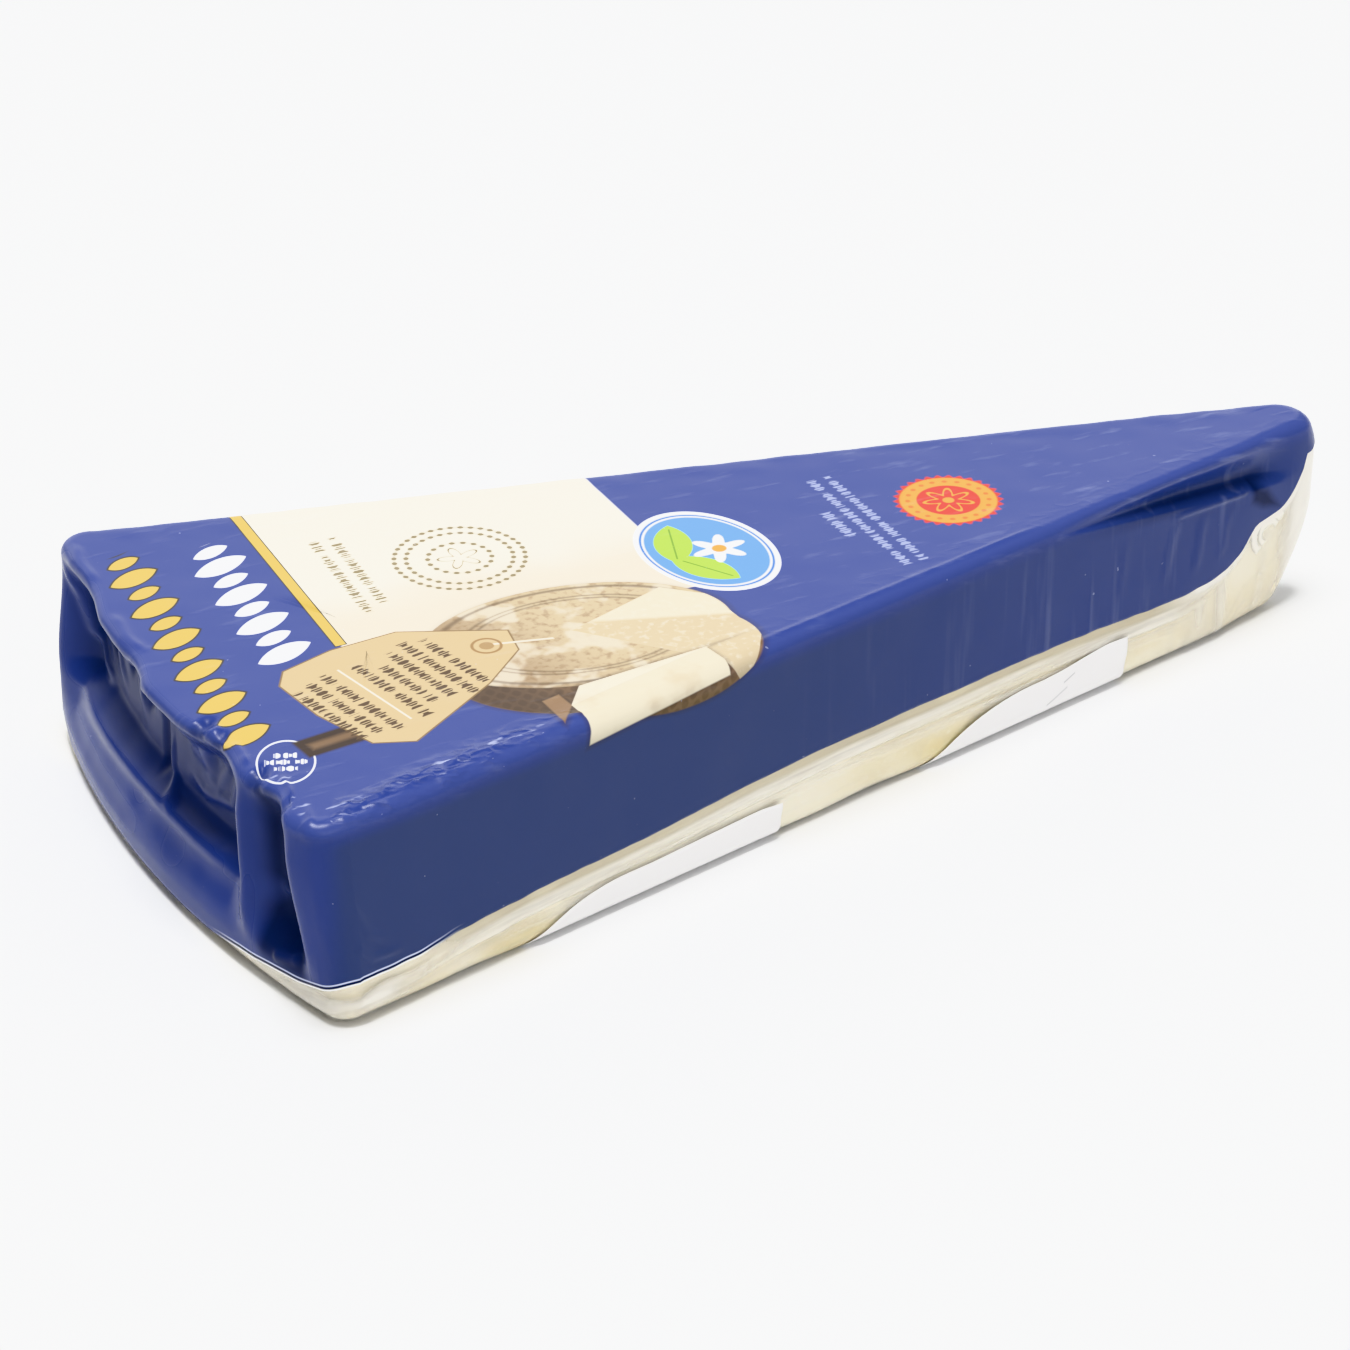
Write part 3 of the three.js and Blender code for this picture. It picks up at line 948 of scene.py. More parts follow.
@dataclass
class PrintedDesign:
    """The print of the top film, laid out on the flat sheet in millimetres.

    Attributes:
        shader: the film's shader.
        inks: its colours.
    """

    shader: Shader
    inks: Inks = Inks()

    def colour(self) -> bpy.types.NodeSocket:
        """Lays out the whole print.

        Returns:
            The print's colour.
        """
        self.x, self.y, _ = self.shader.mark("sheet")
        self.layer: Any = self.inks.blue
        self._panel()
        self._garlands()
        self._still_life()
        self._tag()
        self._emblem()
        self._rosette()
        self._pale_rows()
        return self.layer

    def _lay(self, mask: Field, ink: tuple) -> None:
        """Prints one ink where a mask is 1."""
        self.layer = self.shader.paint(self.layer, mask, ink)

    def _turned(self, centre: tuple[float, float], degrees: float) -> tuple[Field, Field]:
        """Coordinates about a centre, along and across a turned direction.

        Args:
            centre: place on the sheet.
            degrees: how far the direction is turned from the first axis.

        Returns:
            The distances along and across.
        """
        c, s = math.cos(math.radians(degrees)), math.sin(math.radians(degrees))
        dx, dy = self.x - centre[0], self.y - centre[1]
        return dx * c + dy * s, dy * c - dx * s

    def _round(self, centre: tuple[float, float], degrees: float) -> tuple[Field, Field]:
        """Distance from a centre and angle about it."""
        dx, dy = self._turned(centre, degrees)
        return (dx * dx + dy * dy) ** 0.5, self.shader.math("ARCTAN2", dy, dx)

    def _ellipse(self, centre: tuple, half: tuple, degrees: float = 0.0) -> Field:
        """Roughly the distance outside an ellipse.

        Args:
            centre: its place on the sheet.
            half: its two half widths.
            degrees: how far it is turned.

        Returns:
            The distance in millimetres, below 0 inside.
        """
        a, b = self._turned(centre, degrees)
        reach = ((a / half[0]) ** 2 + (b / half[1]) ** 2) ** 0.5
        return (reach - 1) * min(half)

    def _inside(self, corners: Sequence[tuple[float, float]]) -> Field:
        """The distance outside a convex outline whose corners run clockwise."""
        return self.shader.inside(self.x, self.y, corners)

    def _bars(self, across: Field, along: Field, half: float, ends: tuple, shift: float) -> Field:
        """A row of fine strokes in uneven groups.

        Args:
            across: distance across the row from its middle.
            along: distance along the row.
            half: half the strokes' height.
            ends: where the row starts and ends.
            shift: moves the breaks between the groups.

        Returns:
            The row's mask.
        """
        groups = (along * 1.3 + shift).sine() + (along * 2.3 + 2.3 * shift).sine()
        strokes = (along * 9.0 + (along * 2.9 + shift).sine() * 1.8).sine()
        uneven = (along * 5.3 + shift).sine() * (0.28 * half) + half * 0.8
        middle, reach = (ends[0] + ends[1]) / 2, abs(ends[1] - ends[0]) / 2
        rim = (abs(across) - uneven).most(abs(along - middle) - reach)
        return rim.filled(0.25) * (-groups - 1.4).filled(0.3) * (-strokes - 0.62).filled(0.6)

    def _panel(self) -> None:
        """The cream panel, its gold stripe and the dotted ornament on it."""
        stripe_at, stripe_lean, panel_end, panel_foot = -62.2, 0.037, -13.4, -9.0
        stripe = self.x - (self.y * stripe_lean + stripe_at)
        panel = (-stripe).most(self.x - panel_end).most(panel_foot - self.y).filled(0.4)
        self._lay(panel, self.inks.cream)
        cloud = self.shader.noise(self.shader.place(), 0.09, detail=2)
        warm = (self.y - cloud * 9 - 4).rising(4.0, -9.0)
        self._lay(panel * warm * 0.5, srgb(232, 216, 192))
        band = (abs(stripe) - 0.7).most(-2.6 - self.y)
        self._lay((band - 0.2).filled(0.15), self.inks.dark)
        self._lay(band.filled(0.15), self.inks.gold)
        reach, turn = self._round((-38.6, 12.3), 20)
        for radius, dots in ((8.8, 40), (7.2, 32), (4.3, 18)):
            beat = (turn * (dots / 2)).sine()
            spots = ((reach - radius) ** 2 + (beat * (2 * radius / dots)) ** 2) ** 0.5
            self._lay((spots - 0.42).filled(0.2), self.inks.grey)
        petal = reach - (turn * 5).cosine() * 1.0 - 2.0
        self._lay((abs(petal) - 0.2).filled(0.2), self.inks.grey)
        for x, ends in ((-54.9, (3.8, 25.4)), (-52.2, (5.4, 25.4))):
            row = self.x - x - (self.y - 15.0) * 0.05
            self._lay(self._bars(row, self.y, 0.8, ends, x), self.inks.grey)

    def _garlands(self) -> None:
        """A garland of white leaves, one of outlined gold leaves, and a thin oval ring."""
        for middle, lean, half, ends, pitch, inks in (
            (-68.8, 0.06, 3.9, (-3.4, 31.0), 4.3, (self.inks.white,)),
            (-80.4, 0.055, 3.5, (-20.8, 33.4), 4.5167, (self.inks.dark, self.inks.gold)),
        ):
            across = self.x - middle - (self.y - 12.0) * lean
            slanted = self.y - across * 0.28 - ends[0]
            beat = slanted / pitch
            cell = (beat.part() - 0.5) * pitch
            odd = (beat * 0.5).part().rising(0.498, 0.502)
            tall, wide = half - odd * (half * 0.35), 1.9 - odd * 0.6
            bend = (tall * tall + wide * wide) / (wide * 2)
            leaf = ((abs(cell) + bend - wide) ** 2 + across * across) ** 0.5 - bend
            row = leaf.most(abs(slanted - (ends[1] - ends[0]) / 2) - (ends[1] - ends[0]) / 2)
            for ink, grow in zip(inks, (0.32, 0.0) if len(inks) > 1 else (0.1,)):
                self._lay((row - grow).filled(0.18), ink)
        centre, turn = (-80.1, -26.9), 67
        ring = self._ellipse(centre, (5.2, 3.6), turn)
        self._lay((abs(ring) - 0.1).filled(0.15), self.inks.white)
        along, across = self._turned(centre, turn)
        for step, reach in ((1.6, 1.5), (0.0, 2.6), (-1.6, 1.4)):
            row = self._bars(along - step, across, 0.55, (-reach, reach), step)
            self._lay(row, self.inks.white)

    def _still_life(self) -> None:
        """A round cheese with a cut in it, a slice before it and a knife's dark handle."""
        place = self.shader.place()
        grain = self.shader.noise(place, 0.9, detail=5)
        blots = self.shader.noise(place, 0.16, detail=3)
        handle = self._inside(((-77.0, -23.4), (-60.0, -21.4), (-60.0, -24.8), (-76.6, -26.6)))
        self._lay((handle - 0.6).filled(0.5), self.inks.shadow)
        self._lay((handle + 0.9).filled(0.9) * 0.7, self.inks.rind)
        upper, lower, turn = (-33.6, -13.8), (-33.2, -21.0), -8
        top = self._ellipse(upper, (20.6, 13.2), turn)
        foot = self._ellipse(lower, (20.9, 13.6), turn)
        between = self._inside(((-54.2, -11.0), (-13.2, -16.8), (-12.6, -23.9), (-53.9, -18.2)))
        body = top.least(foot).least(between)
        self._lay((body - 0.3).filled(0.9) * 0.5, self.inks.shadow)
        self._lay(body.filled(0.25), self.inks.rind)
        a, b = self._turned(lower, turn)
        lattice = abs(((a + b * 0.8) * 1.5).sine() * ((a - b * 0.8) * 1.5).sine()).rising(0.1, 0.7)
        self._lay(body.filled(0.3) * lattice * 0.45, self.inks.brown)
        self._lay(body.filled(0.3) * (a + b * 0.5).rising(2.0, -19.0) * 0.75, self.inks.shadow)
        self._lay(top.filled(0.3), self.inks.crust)
        self._lay(top.filled(0.3) * (a + b * 0.4).rising(4.0, -20.0) * 0.8, self.inks.rind)
        self._lay(top.filled(0.3) * grain.rising(0.46, 0.7) * 0.6, srgb(130, 106, 78))
        self._lay(top.filled(0.5) * blots.rising(0.5, 0.62) * 0.6, srgb(226, 218, 200))
        for inset, half in ((0.9, 0.3), (3.2, 0.16), (3.9, 0.16)):
            self._lay((abs(top + inset) - half).filled(0.4) * 0.6, self.inks.brown)
        mouth = self._inside(((-34.0, -12.6), (-18.6, -7.2), (-8.0, -17.0), (-17.0, -32.0)))
        mouth = mouth.most(body)
        self._lay(mouth.filled(0.2), self.inks.paste)
        shaded = (self.y + self.x * 0.36 + 22.6).rising(0.5, -0.5)
        self._lay(mouth.filled(0.2) * shaded * 0.7, srgb(168, 148, 112))
        self._lay(mouth.filled(0.2) * grain.rising(0.5, 0.75) * 0.4, srgb(244, 238, 222))
        side = self._inside(((-42.5, -30.2), (-20.5, -24.4), (-19.5, -30.6), (-41.8, -37.6)))
        face = self._inside(((-42.5, -30.2), (-39.5, -26.2), (-20.5, -24.4)))
        crust = self._inside(
            ((-45.4, -27.6), (-39.5, -26.2), (-42.5, -30.2), (-41.8, -37.6), (-45.2, -34.2))
        )
        both = side.least(face).least(crust)
        self._lay((both - 0.4).filled(1.0) * 0.55, self.inks.shadow)
        pale = srgb(240, 232, 212)
        for mask, ink in ((side, self.inks.paste), (face, pale), (crust, self.inks.rind)):
            self._lay(mask.filled(0.25), ink)
        self._lay(both.filled(0.2) * blots.rising(0.5, 0.7) * 0.4, srgb(160, 138, 104))

    def _tag(self) -> None:
        """The tan tag with its hole, a cord's end and rows of strokes."""
        corners = (
            (-73.4, -9.0), (-71.6, -5.8), (-64.1, -3.4), (-54.6, -2.7), (-41.5, -8.8),
            (-42.4, -14.0), (-49.3, -20.2), (-63.6, -29.4), (-68.6, -27.4), (-72.0, -18.0),
        )
        tag = self._inside(corners)
        self._lay((tag - 0.25).filled(0.2), srgb(120, 98, 66))
        self._lay(tag.filled(0.15), self.inks.tan)
        cord = self._inside(((-45.4, -10.9), (-37.0, -13.2), (-37.0, -13.5), (-45.4, -11.3)))
        self._lay(cord.filled(0.2) * 0.8, self.inks.cream)
        hole = self._ellipse((-45.6, -11.3), (1.9, 1.9))
        self._lay((abs(hole) - 0.22).filled(0.2), srgb(140, 112, 74))
        self._lay((hole + 0.9).filled(0.2), srgb(150, 124, 86))
        along, across = self._turned((-50.6, -12.5), -78)
        for step, ends in (
            (-0.4, (-6.6, 7.4)), (-3.1, (-7.6, 8.6)), (-5.8, (-6.6, 8.0)), (-8.5, (-4.0, 7.2)),
            (-11.2, (-6.4, 9.6)), (-15.9, (-7.0, 10.2)), (-18.5, (-6.6, 9.2)), (-21.0, (-5.4, 9.8)),
        ):
            self._lay(self._bars(across - step, along, 0.85, ends, step), self.inks.brown)
        divider = (abs(across + 13.5) - 0.12).most(abs(along - 1.0) - 8.0)
        self._lay(divider.filled(0.15), self.inks.cream)

    def _emblem(self) -> None:
        """An oval emblem: a white flower over two leaves, on pale blue."""
        centre, turn = (-8.2, -0.8), -84
        oval = self._ellipse(centre, (12.2, 8.8), turn)
        white, outline = self.inks.white, srgb(60, 110, 176)
        for inset, ink in ((0.0, white), (0.7, outline), (1.0, white), (1.3, self.inks.sky)):
            self._lay((oval + inset).filled(0.15), ink)
        a, b = self._turned(centre, turn)
        inner = (oval + 1.3).filled(0.15)
        for side in (1, -1):
            p, q = (a * side) * 0.9 + b * 0.42 - 2.4, b * 0.9 - (a * side) * 0.42 + 4.2
            leaf = (p * p + (abs(q) + 4.4) ** 2) ** 0.5 - 7.0
            self._lay(leaf.filled(0.2) * inner, self.inks.leaf)
            self._lay((abs(q) - 0.12).most(leaf + 0.8).filled(0.15) * inner, srgb(104, 138, 44))
        reach, angle = self._round((-6.4, -1.0), 6)
        self._lay((reach - 2.9 - (angle * 6).cosine() * 1.1).filled(0.2) * inner, self.inks.white)
        self._lay((reach - 1.0).filled(0.2), self.inks.sun)

    def _rosette(self) -> None:
        """A round rosette in red and yellow."""
        reach, angle = self._round((28.1, -2.7), 12)
        glow = (reach - 7.2 - (angle * 30).cosine() * 0.3).filled(0.5)
        self._lay(glow, self.inks.red)
        self._lay((reach - 6.7).filled(0.3), self.inks.sun)
        dots = ((reach - 5.6) ** 2 + ((angle * 10).sine() * 0.56) ** 2) ** 0.5
        self._lay((dots - 0.36).filled(0.2) * 0.8, srgb(206, 104, 36))
        self._lay((reach - 4.4).filled(0.2), self.inks.red)
        self._lay((abs(reach - 2.5 - (angle * 7).cosine() * 0.9) - 0.26).filled(0.2), self.inks.sun)
        self._lay((reach - 0.8).filled(0.2), self.inks.sun)

    def _pale_rows(self) -> None:
        """Pale rows of strokes between the emblem and the rosette."""
        pale = srgb(176, 184, 214)
        rows = ((16.6, (-16.2, 11.2), 0.7), (14.0, (-16.4, 11.0), 0.7), (11.2, (-6.0, 1.6), 0.85))
        for x, ends, half in rows:
            self._lay(self._bars(self.x - x, self.y, half, ends, x) * 0.6, pale)


# ---------------------------------------------------------------- finishes


@dataclass(frozen=True)
class PrintedFilmFinish:
    """Glossy printed film with painted shade in its folds, hollows and groove and painted
    highlights along its upper edges, crinkled along them.

    Attributes:
        roughness: of the plain film.
        specular: how strongly it mirrors the lights.
        fold_shade: the painted shade colour in deep folds and hollows.
        wall_shade: the painted shade colour that the ink leans to on the walls.
        scuff_and_highlight: the colour of its scuffs and painted highlights.
        notch: corners of the painted shade in the fold by the tip, in place along and height.
        rolled_at: the section's place where the upper edge has turned down, where a faint sheen is
            painted.
        glints_at: the section's place of the painted glints over that edge.
        lip_highlight_and_shade_lines: height, half width and colour of each painted highlight and
            shade line along the cut edge at the corner.
    """

    roughness: float = 0.27
    specular: float = 0.2
    fold_shade: tuple = (0.004, 0.010, 0.052)
    wall_shade: tuple = (0.036, 0.05, 0.02)
    scuff_and_highlight: tuple = srgb(205, 212, 240)
    notch: tuple = ((75.2, 23.4), (78.6, 21.6), (81.2, 18.0), (77.6, 18.9), (75.4, 20.4))
    rolled_at: float = 29.4
    glints_at: float = 32.4
    lip_highlight_and_shade_lines: tuple = ((0.42, 0.22, fold_shade), (0.74, 0.1, scuff_and_highlight), (0.1, 0.14, (0.9, 0.9, 0.9)))

    def material(self) -> bpy.types.Material:
        """Builds the material.

        Returns:
            The finished material.
        """
        shader = Shader("printed_film")
        ink = PrintedDesign(shader).colour()
        shade, rise, lively = shader.mark("state")
        place = shader.place()
        x, y, z = shader.place_mm()
        sheet = shader.flat("sheet")
        side = z.rising(28.5, 26.0)
        towards_tip = x.rising(-20, 50)
        # painted shade: darker on the walls, in the notch, in the groove and in the rind end's
        # folds and hollows
        front = y.rising(0.0, -4.0)
        # painted shade in the fold by the tip and along the groove under the front's upper edge
        notch = shader.inside(x, z, self.notch).rising(0.7, -1.1) * front
        crease = abs(z - (x * -0.085 + 30.2)).rising(2.2, 0.2)
        groove = crease * x.rising(40, 62) * x.rising(80, 76) * front
        # painted shade on the walls, weaker towards the tip
        wall = side * x.rising(-83.5, -79.0) * (0.32 - towards_tip * 0.16)
        colour = shader.paint(ink, wall, self.wall_shade)
        # painted shade in the rind end's folds and hollows, with the notch and groove shade
        colour = shader.paint(colour, (shade + notch + groove * 0.55).least(0.96), self.fold_shade)
        # paler specks and streaks on the top, partly wear and partly painted sheen, drawn lines on
        # the walls, painted glints at the corner and a faint painted sheen along the rolled edge
        specks = shader.noise(place, 1.1, detail=1).rising(0.8, 0.83)
        streaks = shader.noise(sheet, 0.3, (0.4, 1.5, 1.0), 3).rising(0.56, 0.8) * (1 - side)
        drawn = shader.noise(place, 0.34, (1.3, 1.0, 0.1), 2).rising(0.52, 0.8) * side * towards_tip
        section = shader.mark("sheet")[2]
        # painted sheen along the rolled upper edge
        rolled = abs(section - self.rolled_at).rising(2.0, 0.4)
        # painted glints over the upper edge near the corner
        glints = shader.noise(sheet, 0.42, (0.5, 1.5, 1.0), 3).rising(0.6, 0.68)
        glints = glints * abs(section - self.glints_at).rising(2.0, 0.8)
        glints = glints * x.rising(-36, -60) * y.rising(-20, -28)
        # worn mixes wear with painted sheen
        worn = specks * 0.25 + streaks * (towards_tip * 0.06 + 0.04) + drawn * 0.07
        colour = shader.paint(colour, worn + rolled * 0.03 + glints * 0.5, self.scuff_and_highlight)
        # painted highlight and shade lines along the film's cut edge at the near corner
        lip = x.rising(-62.0, -70.0) * y.rising(-16.0, -24.0)
        for height, half, ink in self.lip_highlight_and_shade_lines:
            colour = shader.paint(colour, (abs(rise - height) - half).filled(0.12) * lip, ink)
        # the film's own unevenness, with crinkle ridges where it is lively
        soft = shader.noise(sheet, 0.055, detail=2)
        ridges = shader.noise(sheet, 0.2, (0.7, 1.3, 1.0), 2)
        ridges = (1 - abs(ridges * 2 - 1) * 2.6).most(0.0) ** 2
        height = soft * 1.3 + streaks * 0.1 + drawn * 0.15 + ridges * lively * 1.1
        surface = shader.principled(
            Base_Color=colour,
            Roughness=shade * 0.3 + self.roughness,
            Specular_IOR_Level=self.specular,
            Normal=shader.bump(height, 0.6, 0.5),
        )
        return shader.finish(surface)


@dataclass(frozen=True)
class CheeseFinish:
    """Pale, close hard cheese, a little yellower in places, wet-looking under its film.

    Attributes:
        pale: its lighter colour.
        deep: its darker colour.
        yellow: its colour in the yellower patches.
        patches: middle and reach of each patch along the lower front edge.
    """

    pale: tuple = srgb(236, 229, 208)
    deep: tuple = srgb(224, 213, 180)
    yellow: tuple = srgb(210, 194, 138)
    patches: tuple = ((-51.0, 10.0), (22.0, 9.0))

    def material(self) -> bpy.types.Material:
        """Builds the material.

        Returns:
            The finished material.
        """
        shader = Shader("cheese")
        place = shader.place()
        x, y, z = shader.place_mm()
        clouds = shader.noise(place, 0.06, (0.6, 1.0, 1.4), 4)
        grains = shader.noise(place, 1.4, detail=3)
        colour = shader.paint(self.pale, clouds.rising(0.4, 0.62), self.deep)
        low = z.rising(6.5, 3.0)
        front = y.rising(-5.0, -9.0)
        for middle, reach in self.patches:
            patch = abs(x - middle + z).rising(reach, reach * 0.2) * low * front
            colour = shader.paint(colour, patch * (clouds * 0.6 + 0.55), self.yellow)
        colour = shader.paint(colour, grains.rising(0.55, 0.8) * 0.3, srgb(250, 248, 238))
        surface = shader.principled(
            Base_Color=colour,
            Roughness=grains * 0.2 + 0.4,
            Subsurface_Weight=0.15,
            Subsurface_Radius=(0.004, 0.003, 0.002),
            Subsurface_Scale=0.6,
            Coat_Weight=0.5,
            Coat_Roughness=0.15,
            Normal=shader.bump(clouds + grains * 0.15, 0.3, 0.6),
        )
        return shader.finish(surface)


@dataclass(frozen=True)
class ClearFilmFinish:
    """Clear film that clings, white where it lies double, creased or puckered.

    Attributes:
        tint: its colour where it turns white.
        line: the colour of the painted shadow line in the seam's fold.
        deep: its colour just below the printed film.
        clear: how white it is where it only clings.
        curl_at: place along and height of the curl beside the tip's notch.
        curl_rings: radius and half width of the curl's rings.
    """

    tint: tuple = srgb(242, 238, 228)
    line: tuple = srgb(176, 172, 160)
    deep: tuple = srgb(220, 210, 182)
    clear: float = 0.05
    curl_at: tuple = (79.5, 14.2)
    curl_rings: tuple = ((2.9, 0.4), (1.7, 0.2))

    def material(self) -> bpy.types.Material:
        """Builds the material.

        Returns:
            The finished material.
        """
        shader = Shader("clear_film")
        place = shader.place()
        x, y, z = shader.place_mm()
        _, below, tip = shader.mark("run")
        haze = shader.mark("haze")[0]
        drawn = shader.noise(place, 0.1, (0.25, 0.6, 2.4), 3)
        run = shader.flat("run")
        wisps = shader.noise(run, 0.5, (0.07, 1.0, 1.0), 3)
        hung = shader.noise(place, 0.13, (1.5, 1.5, 0.1), 1)
        under = below + (drawn - 0.5) * 0.9
        first = under.rising(1.1, 1.9) * under.rising(3.7, 3.2)
        second = under.rising(3.6, 4.2) * under.rising(6.0, 4.6)
        along_side = x.rising(-70.0, -52.0) * 0.7 + 0.3
        seam = first * (wisps.rising(0.3, 0.65) * 0.4 + 0.2)
        seam = seam + second * (wisps.rising(0.35, 0.7) * 0.3 + 0.08)
        seam = seam * along_side * (1 - tip)
        edge = below.rising(2.2, 0.9) * below.rising(-0.4, 0.0) * (1 - tip) * x.rising(-72.0, -60.0)
        tipped = tip * (hung.rising(0.35, 0.8) * 0.32 + 0.1) + tip * below.rising(2.2, 0.2) * 0.7
        # painted shadow line along the seam's fold
        fold = (abs(under - 3.62) - 0.06).filled(0.14) * (1 - tip) * along_side
        dx, dz = x - self.curl_at[0], z - self.curl_at[1]
        curl = y * 0.0
        for radius, half in self.curl_rings:
            ring = abs((dx ** 2 + dz ** 2) ** 0.5 - radius) - half
            curl = curl.most(ring.most(dx * 0.7 - dz * 0.7 - 0.3).filled(0.7) * y.rising(0.0, -3.0))
        white = haze + seam + tipped + curl + wisps.rising(0.5, 0.85) * 0.1
        white = white + fold * 0.25 + edge * 0.4 + self.clear
        colour = shader.paint(self.tint, edge * 0.9, self.deep)
        surface = shader.principled(
            Base_Color=shader.paint(colour, fold * 0.6, self.line),
            Roughness=0.25,
            Alpha=white.least(0.9),
            Normal=shader.bump(drawn * 1.2 + wisps * 0.15, 0.25, 0.5),
        )
        return shader.finish(surface)


@dataclass(frozen=True)
class LabelFinish:
    """White self-adhesive paper with rows of grey strokes.

    Attributes:
        paper: its colour.
        ink: the strokes' colour.
        row_pitch: distance between two rows of strokes, in millimetres.
    """

    paper: tuple = srgb(235, 233, 232)
    ink: tuple = srgb(120, 120, 124)
    row_pitch: float = 2.2

    def material(self) -> bpy.types.Material:
        """Builds the material.

        Returns:
            The finished material.
        """
        shader = Shader("label_paper")
        along, across, _ = shader.mark("label")
        fibres = shader.noise(shader.place(), 2.0, detail=3)
        rows = across / self.row_pitch
        row = rows.part() - 0.5
        beat = (along * 2.3 + (rows - rows.part()) * 5.1).sine() + (along * 0.9).sine()
        lines = (abs(row) - 0.2).filled(0.1) * (-beat - 0.3).filled(0.3) * across.rising(-1.5, -2.0)
        leaning = across - (along - 36.5) * 0.42 - 3.4
        dash = (abs(leaning) - 0.16).most(abs(along - 38.8) - 1.9).filled(0.3)
        second = (abs(leaning - 1.2) - 0.12).most(abs(along - 41.0) - 1.0).filled(0.3)
        strokes = (lines * 0.85 + dash * 0.4 + second * 0.6).least(1.0)
        colour = shader.paint(self.paper, strokes, self.ink)
        surface = shader.principled(
            Base_Color=colour,
            Roughness=0.5,
            Normal=shader.bump(fibres, 0.15, 0.05),
        )
        return shader.finish(surface)


# ---------------------------------------------------------------- the pack's pieces


